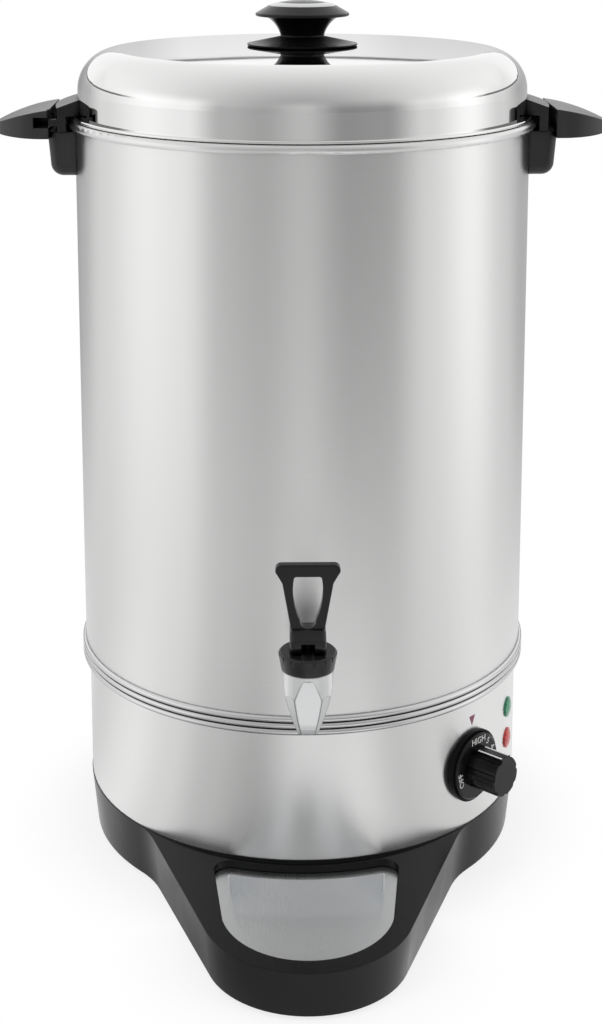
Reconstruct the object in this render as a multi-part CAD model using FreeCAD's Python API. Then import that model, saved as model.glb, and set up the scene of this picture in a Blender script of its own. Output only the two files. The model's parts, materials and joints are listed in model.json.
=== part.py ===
import FreeCAD, Part
import math
import os

# Hot water urn: a steel tank and skirt on a black moulded base with a drip tray, a lever tap,
# a thermostat dial with two pilot lamps, and a lid that locks under the two side handles.
# Millimetres, +Z up, the front of the urn faces -Y. Everything is built round the tank's axis
# and moved at the end, so that the origin lies on the ground under the middle of the object.

# Heights, one above the other
foot_stand = 3.0          # ground to the lower edge of the base
base_height = 35.0        # lower edge of the base to the ledge under the skirt
skirt_height = 83.0       # ledge to the lower edge of the beaded band
band_height = 12.0        # beaded band
tank_height = 345.0       # top of the band to the top of the rolled rim

# Tank, skirt and band
sheet = 1.0               # steel sheet of the tank, skirt and lid
tank_r = 145.0            # outside of the tank
skirt_step = 2.5          # how far the skirt stands inside the tank's outside
rim_roll = 2.8            # radius of the rolled rim's section
bead_count = 3            # beads round the band
bead_root = 0.5           # band's sheet between two beads, beyond the tank
bead_out = 1.7            # how far a bead stands out
floor_rise = 12.0         # tank floor above the band's top
floor_flange = 9.0        # height of the floor's turned down edge
seat = 0.05               # gap between pieces that sit in or on each other in one body
fit = 0.05                # radial clearance of a shaft in its hole
clear = 0.3               # gap between a moving piece and a fixed one
tiny = 0.001
over = 1.0                # how far a cutting shape runs past what it cuts
pole_flat = 0.8           # flat at the middle of a dome
floor_turn = 4.0          # radius of the tank floor's edge

# Base
base_lip = 0.4            # how far the base's round part stands out beyond the skirt
base_wall = 2.6
draft = 3.4               # how far the base draws in towards the ground
lobe_r = 63.8             # round front of the base
lobe_ahead = 5.6          # tap's axis to the centre of the round front
flank_angle = 20.0        # how far the flanks open towards the body, degrees
blend_r = 60.0            # hollow curve between the body and a flank
deck_front = 28.0         # deck height at the front, above the base's lower edge
deck_hidden = 42.5        # how far inside the skirt the deck begins to fall
spigot_height = 6.0       # ring inside the skirt
base_shelf = 42.9         # width of the base's ring under the skirt
rib_count = 10
rib_depth = 9.0
rib_wall = 2.0
rib_start = 70.0          # first rib, degrees from the front
rib_sweep = 220.0         # the ribs spread over this angle
boss_r = 6.0
cover_wall = 1.2
cover_inset = 2.0         # cover above the base's lower edge
vent_count = 12
vent_width = 4.0
vent_length = 26.0
vent_ring_r = 62.0
foot_r = 10.0
foot_taper = 1.4          # how much narrower a foot is on the ground
foot_inset = 26.9         # feet inside the base's edge
foot_angles = (62.0, 145.0, 215.0, 298.0)
front_foot_ahead = 29.4   # front foot in front of the lobe's centre
foot_screw_r = 2.0
foot_screw_length = 8.5   # screw inside its boss
screw_head_r = 3.6
screw_head_height = 2.2

# Drip tray
tray_r = 50.5             # round front of the tray
tray_ahead = 6.0          # tap's axis to its centre
tray_flank_angle = 6.5
tray_back_gap = 4.0       # skirt to the tray's back edge
tray_corner = 9.0
tray_rim = 6.0            # width of the flat rim
tray_depth = 12.0         # depth of the dish
tray_top = 28.3           # rim's top above the base's lower edge
tray_gap = 0.6            # room round the tray in its recess

# Lid
lid_step = 2.0            # how far the lid's wall stands inside the tank's outside
lid_wall_height = 17.4
lid_shoulder = 25.0       # radius of the shoulder's section
lid_crown = 1.5           # rise of the top towards the middle
lid_bead = 4.2            # width of the hemmed flange that rests on the rim
lid_hem = 1.0             # half of the flange's thickness
plug_depth = 10.0         # how far the lid reaches into the tank
plug_gap = 2.6            # room round it there

# Knob
guard_r = 35.0            # heat guard under the knob
guard_seat_r = 12.0       # flat middle of its underside
guard_lift = 0.45         # its rim above the middle's underside
guard_edge = 0.9          # height of its rim
guard_rise = 5.6          # its underside to its top at the knob's neck
guard_collar = 1.2        # how far its top stands out round the neck
knob_r = 29.8
knob_neck_r = 13.9
knob_height = 28.8        # guard's underside to the top of the knob
flare_r = 22.4            # neck's flare where it meets the head
flare_middle_r = 16.6
flare_start = 22.0        # flare's lower end, below the knob's top
flare_end = 10.8
knob_edge = 9.0           # head's widest place below its top
knob_edge_half = 1.0      # half of the rounded edge's height
knob_edge_in = 0.5
ring_r = 21.3             # bright ring in the knob's top
ring_width = 6.6
ring_wall = 1.5
ring_outer_drop = 3.4     # ring's outer edge below the knob's top
ring_inner_drop = 1.6
ring_crown = 0.3          # how far the ring bulges between its edges
knob_screw_r = 2.5
washer_r = 9.0
washer_wall = 1.2
knob_screw_head = 3.0     # height of its head
knob_screw_end = 8.0      # screw's hole ends this far below the knob's top

# Lugs of the lid and side handles, in the plane through both handles
handle_gap = 14.0         # tank to the inner edge of a grip
handle_length = 37.8      # grip from there to its tip
handle_half = 33.0        # half of a grip's width
handle_straight = 4.0     # straight part of its sides, before the rounded end
handle_root = 16.0        # thickness at the inner edge
handle_bulge = 1.3        # how far its top bulges between root and tip
handle_tip = 5.5
handle_sag = 2.0          # underside of the grip, lower at the leg than near the tip
handle_belly = 1.6        # the same in the middle
handle_chin = 6.0         # length of the underside's last part, which rises to the tip
handle_chin_low = 0.6
handle_chin_high = 2.4
handle_edge = 1.2         # bevel at the tip
handle_drop = 9.4         # underside of the grip below the rim's top
handle_wall = 3.2
leg_height = 26.3
leg_out = 14.0            # how far a leg stands out from the tank
leg_half = 28.0
leg_corner = 8.0
leg_round = 6.0           # rounding of its outer upright edges
leg_flare = 1.5           # leg's outside towards the grip
leg_gap = 3.0             # leg's top below the slot
lug_half_angle = 12.0     # half of a lug's width, degrees round the tank's axis
lug_gap = 2.2             # lug to the grip
lug_rise = 12.7           # lug's top above the rim, at the lid's wall
lug_fall = 4.7            # how far its top falls towards the handle
lug_hang = 7.0            # how far it hangs below the rim's top, outside the rim
lug_air = 1.8             # air between the rim and the hanging part
tongue_reach = 5.4        # tongue beyond the lug
tongue_angle = 2.2        # width of a tongue, degrees
lock_turn = 8.0           # turn that locks the lid, degrees
open_turn = 18.0          # slot runs out of the handle's side, degrees past the tongue
angle_room = 0.4          # room beside a tongue, degrees
slot_reach = 12.5         # depth of the slot in the handle
slot_low = 4.6            # slot's floor below the rim's top
slot_height = 6.7
slot_room = 1.3           # room above and below the tongue
stud_r = 2.5
stud_spread = 26.0        # distance between a handle's two studs
nut_r = 4.6
nut_height = 4.0
nut_inset = 0.5           # nut's outer end inside the leg's outside
stud_inset = 1.0          # stud's end inside the nut's outer end
lug_screw_r = 2.0
lug_screw_spread = 30.0
lug_screw_above = 6.6     # screws above the rim
lug_screw_in = 8.0        # their length in the lug

# Tap
tap_out = 38.0            # tank to the tap's axis
tap_stand = 103.8         # lip of the spout above the base's ledge
spout_height = 39.2       # lip of the spout to the cap
spout_top_half = 15.1     # half of its width under the cap
spout_middle_half = 11.9  # the same halfway down
spout_lip_half = 5.6
spout_top_face = 9.3      # half of the front facet's width under the cap
spout_middle_face = 7.3
spout_lip_face = 3.9
spout_collar = 2.6        # round collar above the facets
outlet_r = 4.4
shank_above = 20.2        # shank's axis above the lip
shank_r = 8.0
collar_r = 11.0
collar_wall = 5.0
water_r = 4.6             # waterway in the shank
chamber_r = 7.4
seat_above = 13.2         # valve seat above the lip
gasket_wall = 2.0
tap_nut_r = 14.0
tap_nut_height = 7.0
shank_end = 4.0           # thread beyond the nut
neck_r = 11.5             # threaded neck inside the cap
neck_height = 6.0
cap_r = 16.9
cap_taper = 1.5
cap_bevel = 1.2
cap_height = 10.5
cap_roof = 3.5
cap_ribs = 16
cap_groove = 1.5          # radius of a groove between two ribs
cap_groove_out = 0.9      # its middle outside the cap
cup_height = 5.0
cup_r = 6.4
cup_wall = 1.6
cup_floor = 2.0
stem_collar = 1.5         # collar under the spring
spring_wire = 0.6
spring_pitch = 3.8
coil_steps = 4            # points per pitch of wire when the spring's gap is measured
stem_r = 2.4
stem_eye = 3.0            # half of the stem's flat eye
pin_r = 1.5
pin_inset = 0.8           # pin's ends inside the foot's sides
cam_r = 7.0               # lever foot below the pin
cam_ahead = 4.5           # cam's centre in front of the pin
foot_half = 10.4          # half of the lever foot's width
foot_back = 7.0
foot_top = 6.5            # foot above the pin
foot_round = 2.4          # rounding of its upper and front edges
foot_slope = 2.5          # where its front face leaves the cam, above the pin
notch_half = 3.9          # half width of the notch for the stem
notch_top = 0.6           # notch's top above the pin
lever_height = 44.8       # pin to the top of the bar
lever_bar = 6.9           # height of the bar
lever_bar_half = 18.6
lever_wall = 6.4          # thickness of the loop
lever_round = 1.0         # rounding of the loop's outer edges
arm_half = 14.6           # half of the loop's width under the bar
arm_fall = 4.2            # bar to that place
arm_waist_half = 9.6      # half of its width on the foot
hole_half = 8.0           # half of the finger hole's width
hole_corner = 1.5
hole_low_half = 4.6       # the same above its round lower end
hole_bulge = 1.9          # how far its sides curve out
hole_floor = 6.8          # its lower end above the pin
hole_end = 5.0            # height of its round lower end

# Thermostat dial and pilot lamps on the skirt
dial_azimuth = 47.5       # from the front towards +X
dial_above = 39.0         # dial's axis above the ledge
dial_r = 21.3
dial_gap = 0.5            # skirt to the back of the dial's rim
dial_depth = 4.5
dial_wall = 2.0
dial_bevel = 1.0
bezel_r = 23.1
bezel_depth = 2.5
grip_r = 12.7
grip_length = 21.5
grip_bevel = 0.6
grip_flutes = 7
flute_r = 2.6
flute_out = 1.2           # a flute's middle outside the grip
ridge_half = 4.2          # pointer ridge along the grip
ridge_rise = 0.3
shaft_r = 3.0
shaft_in = 18.0           # shaft inside the thermostat
shaft_cap = 5.0           # shaft's end below the grip's end
thermostat_gap = 4.0      # skirt to the thermostat's case
thermostat_half = 17.0
thermostat_depth = 24.0
bushing_r = 5.0
bushing_out = 2.5         # bushing and its nut outside the skirt
bushing_nut_r = 8.0
lamp_azimuth = 69.0
lamp_low = 35.0           # red lamp above the ledge
lamp_high = 56.6          # green lamp above the ledge
lamp_r = 6.7
lamp_dome = 2.4
lamp_edge = 0.9           # height of the lens's straight edge
lamp_body_r = 4.8
lamp_body_length = 24.0
lamp_nut_wall = 3.0
lamp_nut_r = 7.6

# Power inlet at the back of the skirt
inlet_above = 30.0        # its middle above the ledge
inlet_half = 13.6         # socket body, half width
inlet_half_height = 10.0
inlet_depth = 20.0
inlet_recess_half = 11.8
inlet_recess_half_height = 7.8
inlet_recess = 17.0
inlet_flange_half = 25.0
inlet_flange = 3.0
inlet_border = 1.5        # flange above and below the socket
inlet_screw_spread = 40.0
inlet_screw_in = 8.0      # screws inside the skirt
inlet_pin_length = 11.0
inlet_pin_half = 2.0      # half of a pin's height
inlet_pin_half_wall = 1.0
inlet_pin_spread = 7.0    # outer pins from the middle one
inlet_pin_step = 2.0      # middle pin above, outer pins below the socket's middle
louvre_count = 7
louvre_pitch = 7.0        # degrees between the slots
louvre_width = 3.0
louvre_height = 16.0
louvre_above = 62.0

# Heater under the tank floor
plate_r = 92.0
plate_wall = 6.0
element_r = 72.0
element_tube = 4.0
element_sleeve = 4.9      # sleeve round each turned down end
element_gap = 26.0        # degrees left open between the element's ends
element_leg = 20.0
terminal_length = 12.0
terminal_half = 3.15      # half of a flat terminal's width
terminal_half_wall = 0.4
bulb_r = 3.0
bulb_length = 60.0
bulb_ring = 34.0          # bulb's distance from the tank's axis
bulb_lead = 10.0          # straight tube after the bulb
bulb_tube_r = 1.0
bulb_bend = 11.0          # step of the tube's way down to the thermostat
clip_half = 3.0           # half of a bulb clip's width
clip_tab = 7.8            # length of its tab
cutout_r = 12.0
cutout_height = 9.0
cutout_ear = 6.0
cutout_ear_half = 4.0
cutout_blade = 6.0        # its terminals from its middle
block_length = 46.0
block_width = 18.0
block_height = 16.0
block_ahead = 40.0        # its distance behind the tank's axis
block_ways = 4
block_hole_r = 3.0
block_slit_half = 0.6
block_slit = 4.8          # depth of the slits between its ways

V = FreeCAD.Vector
skirt_r = tank_r - skirt_step
base_r = skirt_r + base_lip
lid_r = tank_r - lid_step
tap_y = tank_r + tap_out
lobe_y = tap_y + lobe_ahead
deck_start = skirt_r - deck_hidden
base_opening_r = base_r - base_shelf
foot_ring_r = base_r - foot_inset
front_foot_y = lobe_y + front_foot_ahead
tray_y = tap_y + tray_ahead
tray_back_r = skirt_r + tray_back_gap
handle_in_r = tank_r + handle_gap
handle_reach = handle_in_r + handle_length
lug_out_r = handle_in_r - lug_gap
dial_back = skirt_r + dial_gap
edge_z = foot_stand
ledge_z = edge_z + base_height
band_z = ledge_z + skirt_height
band_top_z = band_z + band_height
rim_z = band_top_z + tank_height
step_z = band_z + band_height / 2
floor_z = band_top_z + floor_rise
deck_front_z = edge_z + deck_front
tray_top_z = edge_z + tray_top
tank_in_r = tank_r - sheet
skirt_in_r = skirt_r - sheet
rim_out_r = tank_in_r + 2 * rim_roll
lobe_reach = lobe_y + lobe_r
front_reach = lobe_reach - draft * (base_height - deck_front) / base_height
tank_shift = (front_reach - rim_out_r) / 2
sky_z = 2 * rim_z         # above every piece
far = 2 * lobe_reach      # beyond every piece
diagonal = math.sqrt(0.5)


def side(r, z):
    return V(r, 0, z)


# A closed outline: (a, b) is a corner, (a, b, c, d) an arc through a, b that ends at c, d
def outline(points, place):
    start = place(points[0][0], points[0][1])
    last = start
    edges = []
    for point in points[1:]:
        end = place(point[-2], point[-1])
        if len(point) == 4:
            edges.append(Part.Arc(last, place(point[0], point[1]), end).toShape())
        else:
            edges.append(Part.LineSegment(last, end).toShape())
        last = end
    if last.distanceToPoint(start) > tiny:
        edges.append(Part.LineSegment(last, start).toShape())
    return Part.Wire(edges)


# A profile of radius and height, turned about the tank's axis
def lathe(points, angle=360.0):
    return Part.Face(outline(points, side)).revolve(V(0, 0, 0), V(0, 0, 1), angle)


# An outline seen from above, raised from low to high
def prism(points, low, high):
    wire = outline(points, lambda x, y: V(x, y, low))
    return Part.Face(wire).extrude(V(0, 0, high - low))


# An outline seen along +Y, running from y = near to y = far
def slab(points, near, far):
    wire = outline(points, lambda x, z: V(x, near, z))
    return Part.Face(wire).extrude(V(0, far - near, 0))


def cylinder(r, low, high, x=0.0, y=0.0):
    return Part.makeCylinder(r, high - low, V(x, y, low))


def tube(r_out, r_in, low, high, x=0.0, y=0.0):
    return cylinder(r_out, low, high, x, y).cut(cylinder(r_in, low - over, high + over, x, y))


def box(x0, x1, y0, y1, z0, z1):
    return Part.makeBox(x1 - x0, y1 - y0, z1 - z0, V(x0, y0, z0))


def rod(r, start, end):
    direction = end - start
    return Part.makeCylinder(r, direction.Length, start, direction)


def hexagon(r, low, high, x=0.0, y=0.0):
    corners = [(x + r * math.cos(math.radians(60 * i)), y + r * math.sin(math.radians(60 * i)))
               for i in range(6)]
    return prism(corners, low, high)


def turned(shape, angle):
    copy = shape.copy()
    copy.rotate(V(0, 0, 0), V(0, 0, 1), angle)
    return copy


def moved(shape, x, y, z):
    copy = shape.copy()
    copy.translate(V(x, y, z))
    return copy


def union(shapes):
    return shapes[0].multiFuse(shapes[1:]).removeSplitter()


# How far a round wall falls away from its tangent, at a distance r from where they touch
def sag(wall_r, r):
    return wall_r - math.sqrt(wall_r ** 2 - r ** 2)


# A point at a distance from the tank's axis, at an angle from the front towards +X
def ring_point(r, azimuth):
    angle = math.radians(azimuth)
    return r * math.sin(angle), -r * math.cos(angle)


# Sets a shape into the wall: its own Z points outwards from the tank's axis and its own Y up
def set_outward(shape, azimuth, height):
    angle = math.radians(azimuth)
    c, s = math.cos(angle), math.sin(angle)
    copy = shape.copy()
    copy.transformShape(FreeCAD.Matrix(c, 0, s, 0, s, 0, -c, 0, 0, 1, 0, height, 0, 0, 0, 1))
    return copy


# The base's outline at a height, moved in by inset: round body, hollow curves, flanks, round front
def base_wire(inset, z):
    flank = math.radians(flank_angle)
    nx, ny = math.cos(flank), -math.sin(flank)
    dx, dy = math.sin(flank), math.cos(flank)
    px = (lobe_r + blend_r) * nx
    py = (lobe_r + blend_r) * ny - lobe_y
    half = px * dx + py * dy
    rest = px ** 2 + py ** 2 - (base_r + blend_r) ** 2
    run = -half - math.sqrt(half * half - rest)
    qx, qy = px + run * dx, py + run * dy
    distance = math.hypot(qx, qy)
    ux, uy = qx / distance, qy / distance
    body = base_r - inset
    hollow = blend_r + inset
    front = lobe_r - inset
    mx, my = -ux - nx, -uy - ny
    middle = math.hypot(mx, my)
    points = [
        (ux * body, uy * body),
        (qx + mx / middle * hollow, qy + my / middle * hollow, qx - nx * hollow, qy - ny * hollow),
        (nx * front, ny * front - lobe_y),
        (0, -front - lobe_y, -nx * front, ny * front - lobe_y),
        (-qx + nx * hollow, qy - ny * hollow),
        (-qx - mx / middle * hollow, qy + my / middle * hollow, -ux * body, uy * body),
        (-body, 0, 0, body),
        (body, 0, ux * body, uy * body),
    ]
    return outline(points, lambda x, y: V(x, y, z))


# The space above the falling deck, lowered by drop
def above_deck(drop):
    fall = (ledge_z - deck_front_z) / (lobe_reach - deck_start)
    points = [(-deck_start, ledge_z - drop), (-far, ledge_z - drop - fall * (far - deck_start)),
              (-far, ledge_z + base_height), (-deck_start, ledge_z + base_height)]
    wire = outline(points, lambda y, z: V(-far, y, z))
    return Part.Face(wire).extrude(V(2 * far, 0, 0))


# The tray's outline grown by grow, as a prism with its back corners rounded
def tray_prism(grow, low, high):
    flank = math.radians(tray_flank_angle)
    nx, ny = math.cos(flank), -math.sin(flank)
    dx, dy = math.sin(flank), math.cos(flank)
    front = tray_r + grow
    back = tray_back_r - grow
    tx, ty = nx * front, ny * front - tray_y
    half = tx * dx + ty * dy
    run = -half - math.sqrt(half * half - (tx * tx + ty * ty - back * back))
    cx, cy = tx + run * dx, ty + run * dy
    points = [(cx, cy), (tx, ty), (0, -front - tray_y, -tx, ty), (-cx, cy),
              (0, -back, cx, cy)]
    solid = prism(points, low, high)
    corners = []
    for edge in solid.Edges:
        ends = [v.Point for v in edge.Vertexes]
        upright = len(ends) == 2 and abs(ends[0].z - ends[1].z) > tiny
        if upright and abs(abs(ends[0].x) - cx) < tiny and abs(ends[0].y - cy) < tiny:
            corners.append(edge)
    return solid.makeFillet(tray_corner + grow, corners)


foot_places = [ring_point(foot_ring_r, angle) for angle in foot_angles] + [(0.0, -front_foot_y)]
cover_z = edge_z + cover_inset
cover_top_z = cover_z + cover_wall
under_z = ledge_z - base_wall
dish_floor_z = tray_top_z - tray_depth
recess_z = dish_floor_z - sheet - clear
pocket_floor_z = recess_z - base_wall


# The moulding: an open shell with a pocket for the tray, a ring for the skirt, bosses and ribs
def make_base_housing():
    outer = Part.makeLoft([base_wire(draft, edge_z), base_wire(0, ledge_z)], True, True)
    outer = outer.cut(above_deck(0).cut(cylinder(base_r, 0, sky_z)))
    walls = [base_wire(draft + base_wall, edge_z), base_wire(base_wall, ledge_z)]
    cavity = Part.makeLoft(walls, True, True)
    cavity = cavity.cut(box(-far, far, -far, far, under_z, sky_z))
    cavity = cavity.cut(above_deck(base_wall))
    cavity = cavity.cut(tray_prism(tray_gap + base_wall, pocket_floor_z, sky_z))
    shell = outer.cut(cavity)
    shell = shell.cut(tray_prism(tray_gap, tray_top_z - sheet - seat, sky_z))
    shell = shell.cut(tray_prism(tray_gap - tray_rim, recess_z, sky_z))
    spigot_r = skirt_in_r - seat
    pieces = [shell, tube(spigot_r, spigot_r - base_wall, under_z, ledge_z + spigot_height)]
    for x, y in foot_places[:-1]:
        pieces.append(cylinder(boss_r, cover_top_z, under_z + tiny, x, y))
    pieces.append(cylinder(boss_r, cover_top_z, pocket_floor_z + tiny, 0, -front_foot_y))
    for i in range(rib_count):
        rib = box(-rib_wall / 2, rib_wall / 2, -base_r + base_wall, -base_opening_r,
                  under_z - rib_depth, under_z + tiny)
        pieces.append(turned(rib, rib_start + rib_sweep * i / (rib_count - 1)))
    for x in (-tray_r / 2, 0, tray_r / 2):
        pieces.append(box(x - rib_wall / 2, x + rib_wall / 2, -front_foot_y + boss_r / 2,
                          -base_r, pocket_floor_z - rib_depth / 2, pocket_floor_z + tiny))
    housing = union(pieces)
    housing = housing.cut(cylinder(base_opening_r, under_z - rib_depth - over, ledge_z + over))
    for x, y in foot_places:
        hole = cylinder(foot_screw_r + seat, 0, cover_top_z + foot_screw_length, x, y)
        housing = housing.cut(hole)
    return housing


def make_base_cover():
    plate = Part.Face(base_wire(draft + base_wall + clear, cover_z)).extrude(V(0, 0, cover_wall))
    for i in range(vent_count):
        slot = box(-vent_width / 2, vent_width / 2, -vent_ring_r - vent_length / 2,
                   -vent_ring_r + vent_length / 2, 0, ledge_z)
        plate = plate.cut(turned(slot, 360.0 * i / vent_count))
    for x, y in foot_places:
        plate = plate.cut(cylinder(foot_screw_r + seat, 0, ledge_z, x, y))
    return plate


def make_foot(x, y):
    head_z = cover_z - screw_head_height
    head_r = screw_head_r + seat
    hole_r = foot_screw_r + seat
    points = [(head_r, 0), (foot_r - foot_taper, 0), (foot_r, cover_z), (hole_r, cover_z),
              (hole_r, head_z), (head_r, head_z)]
    return moved(lathe(points), x, y, 0)


def make_foot_screws():
    head_z = cover_z - screw_head_height
    top_z = cover_top_z + foot_screw_length - over
    screws = []
    for x, y in foot_places:
        head = cylinder(screw_head_r, head_z - screw_head_height, head_z, x, y)
        screws.append(union([head, cylinder(foot_screw_r, head_z - tiny, top_z, x, y)]))
    return Part.makeCompound(screws)


def make_drip_tray():
    rim = tray_prism(0, tray_top_z - sheet, tray_top_z)
    dish = tray_prism(-tray_rim - clear, dish_floor_z - sheet, tray_top_z - sheet)
    hollow = tray_prism(-tray_rim - clear - sheet, dish_floor_z, sky_z)
    return union([rim, dish]).cut(hollow)


def make_skirt_shell():
    shell = tube(skirt_r, skirt_in_r, ledge_z, step_z - sheet)
    dial_hole = cylinder(bushing_r + seat, 0, far)
    lamp_hole = cylinder(lamp_body_r + seat, 0, far)
    socket = box(-inlet_half - seat, inlet_half + seat, -inlet_half_height - seat,
                 inlet_half_height + seat, 0, far)
    holes = [set_outward(dial_hole, dial_azimuth, dial_z),
             set_outward(lamp_hole, lamp_azimuth, ledge_z + lamp_low),
             set_outward(lamp_hole, lamp_azimuth, ledge_z + lamp_high),
             set_outward(socket, 180, inlet_z)]
    for x in (-inlet_screw_spread / 2, inlet_screw_spread / 2):
        holes.append(set_outward(cylinder(foot_screw_r + seat, 0, far, x, 0), 180, inlet_z))
    for i in range(louvre_count):
        slot = box(-louvre_width / 2, louvre_width / 2, -louvre_height / 2, louvre_height / 2, 0, far)
        angle = 180 + louvre_pitch * (i - (louvre_count - 1) / 2)
        holes.append(set_outward(slot, angle, ledge_z + louvre_above))
    return shell.cut(holes)


# The band's inner ledge lies on the skirt's top edge and carries the tank's lower edge
def make_mid_band():
    root_r = tank_r + bead_root
    pitch = band_height / bead_count
    points = [(skirt_r + seat, band_z), (skirt_r + seat, step_z - sheet), (skirt_in_r, step_z - sheet),
              (skirt_in_r, step_z), (tank_r + seat, step_z), (tank_r + seat, band_top_z),
              (root_r, band_top_z)]
    for i in range(bead_count):
        top = band_top_z - pitch * i
        points.append((root_r + bead_out, top - pitch / 2, root_r, top - pitch))
    return lathe(points)


def make_tank_shell():
    roll_x, roll_z = tank_in_r + rim_roll, rim_z - rim_roll
    inner = rim_roll - sheet
    points = [(tank_in_r, step_z), (tank_in_r, roll_z),
              (roll_x, rim_z, roll_x + rim_roll, roll_z),
              (roll_x + rim_roll * diagonal, roll_z - rim_roll * diagonal, roll_x, roll_z - rim_roll),
              (roll_x, roll_z - inner),
              (roll_x + inner * diagonal, roll_z - inner * diagonal, roll_x + inner, roll_z),
              (roll_x, roll_z + inner, tank_r, roll_z),
              (tank_r, step_z)]
    tap_hole = rod(shank_r + seat, V(0, -far, shank_z), V(0, 0, shank_z))
    return lathe(points).cut(tap_hole)


def make_tank_floor():
    out = tank_in_r - seat
    low = floor_z - floor_flange
    under = floor_z - sheet
    step = floor_turn * (1 - diagonal)
    points = [(0, under), (out - sheet - floor_turn, under),
              (out - sheet - step, under - step, out - sheet, under - floor_turn),
              (out - sheet, low), (out, low), (out, floor_z - floor_turn),
              (out - step, floor_z - step, out - floor_turn, floor_z), (0, floor_z)]
    return lathe(points)


plate_z = floor_z - sheet - plate_wall
leg_end_z = plate_z - element_leg
bulb_z = plate_z - bulb_r - sheet
dial_z = ledge_z + dial_above
inlet_z = ledge_z + inlet_above
spout_z = ledge_z + tap_stand
shank_z = spout_z + shank_above
cap_z = spout_z + spout_height
cap_top_z = cap_z + cap_height
seat_z = spout_z + seat_above
pin_z = cap_top_z + clear + cam_r


def make_heater_plate():
    plate = cylinder(plate_r, plate_z, floor_z - sheet)
    groove = Part.makeTorus(element_r, element_tube + seat, V(0, 0, plate_z))
    return plate.cut(groove)


def element_ends():
    angle = math.radians(element_gap / 2)
    x, y = element_r * math.sin(angle), element_r * math.cos(angle)
    return [(-x, y), (x, y)]


# The element's tube lies in the plate's groove, with a sleeve down from each end
def make_heating_element():
    ring = Part.Wire(Part.makeCircle(element_tube, V(element_r, 0, plate_z), V(0, 1, 0)))
    loop = Part.Face(ring).revolve(V(0, 0, 0), V(0, 0, 1), 360 - element_gap)
    pieces = [turned(loop, 90 + element_gap / 2)]
    for x, y in element_ends():
        pieces.append(cylinder(element_sleeve, leg_end_z, plate_z - seat, x, y))
    return union(pieces)


# Flat terminals that hang from a height, one at each place
def terminals(places, top):
    return [box(x - terminal_half, x + terminal_half, y - terminal_half_wall,
                y + terminal_half_wall, top - terminal_length, top) for x, y in places]


def make_element_terminals():
    return Part.makeCompound(terminals(element_ends(), leg_end_z))


# A bulb clipped under the plate and the thin tube from it to the back of the thermostat
def make_sensor_bulb():
    start = V(-bulb_length / 2, -bulb_ring, bulb_z)
    end = V(bulb_length / 2, -bulb_ring, bulb_z)
    back_r = skirt_in_r - thermostat_gap - thermostat_depth
    way = [V(*ring_point(back_r - step * bulb_bend, dial_azimuth), dial_z + rise * bulb_bend)
           for step, rise in ((2, 2), (1, 0), (0, 0))]
    stops = [end - V(over, 0, 0), end + V(bulb_lead, 0, 0)] + way
    pieces = [rod(bulb_r, start, end)]
    for near, next_stop in zip(stops, stops[1:]):
        pieces.append(rod(bulb_tube_r, near, next_stop))
    for stop in stops[1:-1]:
        pieces.append(Part.makeSphere(bulb_tube_r, stop))
    return union(pieces)


def make_bulb_clips():
    clips = []
    for x in (-bulb_length / 4, bulb_length / 4):
        near, away = V(x - clip_half, -bulb_ring, bulb_z), V(x + clip_half, -bulb_ring, bulb_z)
        tab = box(x - clip_half, x + clip_half, -bulb_ring, -bulb_ring + clip_tab, plate_z - sheet, plate_z)
        bore = rod(bulb_r + seat, near - V(over, 0, 0), away + V(over, 0, 0))
        clips.append(union([rod(bulb_r + sheet, near, away), tab]).cut(bore))
    return Part.makeCompound(clips)


def make_thermal_cutout():
    reach = cutout_r + cutout_ear
    body = cylinder(cutout_r, plate_z - cutout_height, plate_z, 0, bulb_ring)
    ears = box(-reach, reach, bulb_ring - cutout_ear_half, bulb_ring + cutout_ear_half,
               plate_z - sheet, plate_z)
    places = [(-cutout_blade, bulb_ring), (cutout_blade, bulb_ring)]
    return union([body, ears] + terminals(places, plate_z - cutout_height + over))


def make_terminal_block():
    left = -block_length / 2
    back = block_ahead + block_width
    top = cover_top_z + block_height
    pitch = block_length / block_ways
    block = box(left, -left, block_ahead, back, cover_top_z, top)
    for i in range(block_ways):
        hole = cylinder(block_hole_r, cover_top_z + block_height / 2, top + over,
                        left + pitch * (i + 0.5), block_ahead + block_width / 2)
        block = block.cut(hole)
    for i in range(1, block_ways):
        middle = left + pitch * i
        block = block.cut(box(middle - block_slit_half, middle + block_slit_half,
                              block_ahead - over, back + over, top - block_slit, top + over))
    return block


# The spout's section at a height: a square with its corners cut off
def spout_wire(half, face, z):
    points = [(-face, -half), (face, -half), (half, -face), (half, face),
              (face, half), (-face, half), (-half, face), (-half, -face)]
    return outline(points, lambda x, y: V(x, y - tap_y, z))


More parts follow.
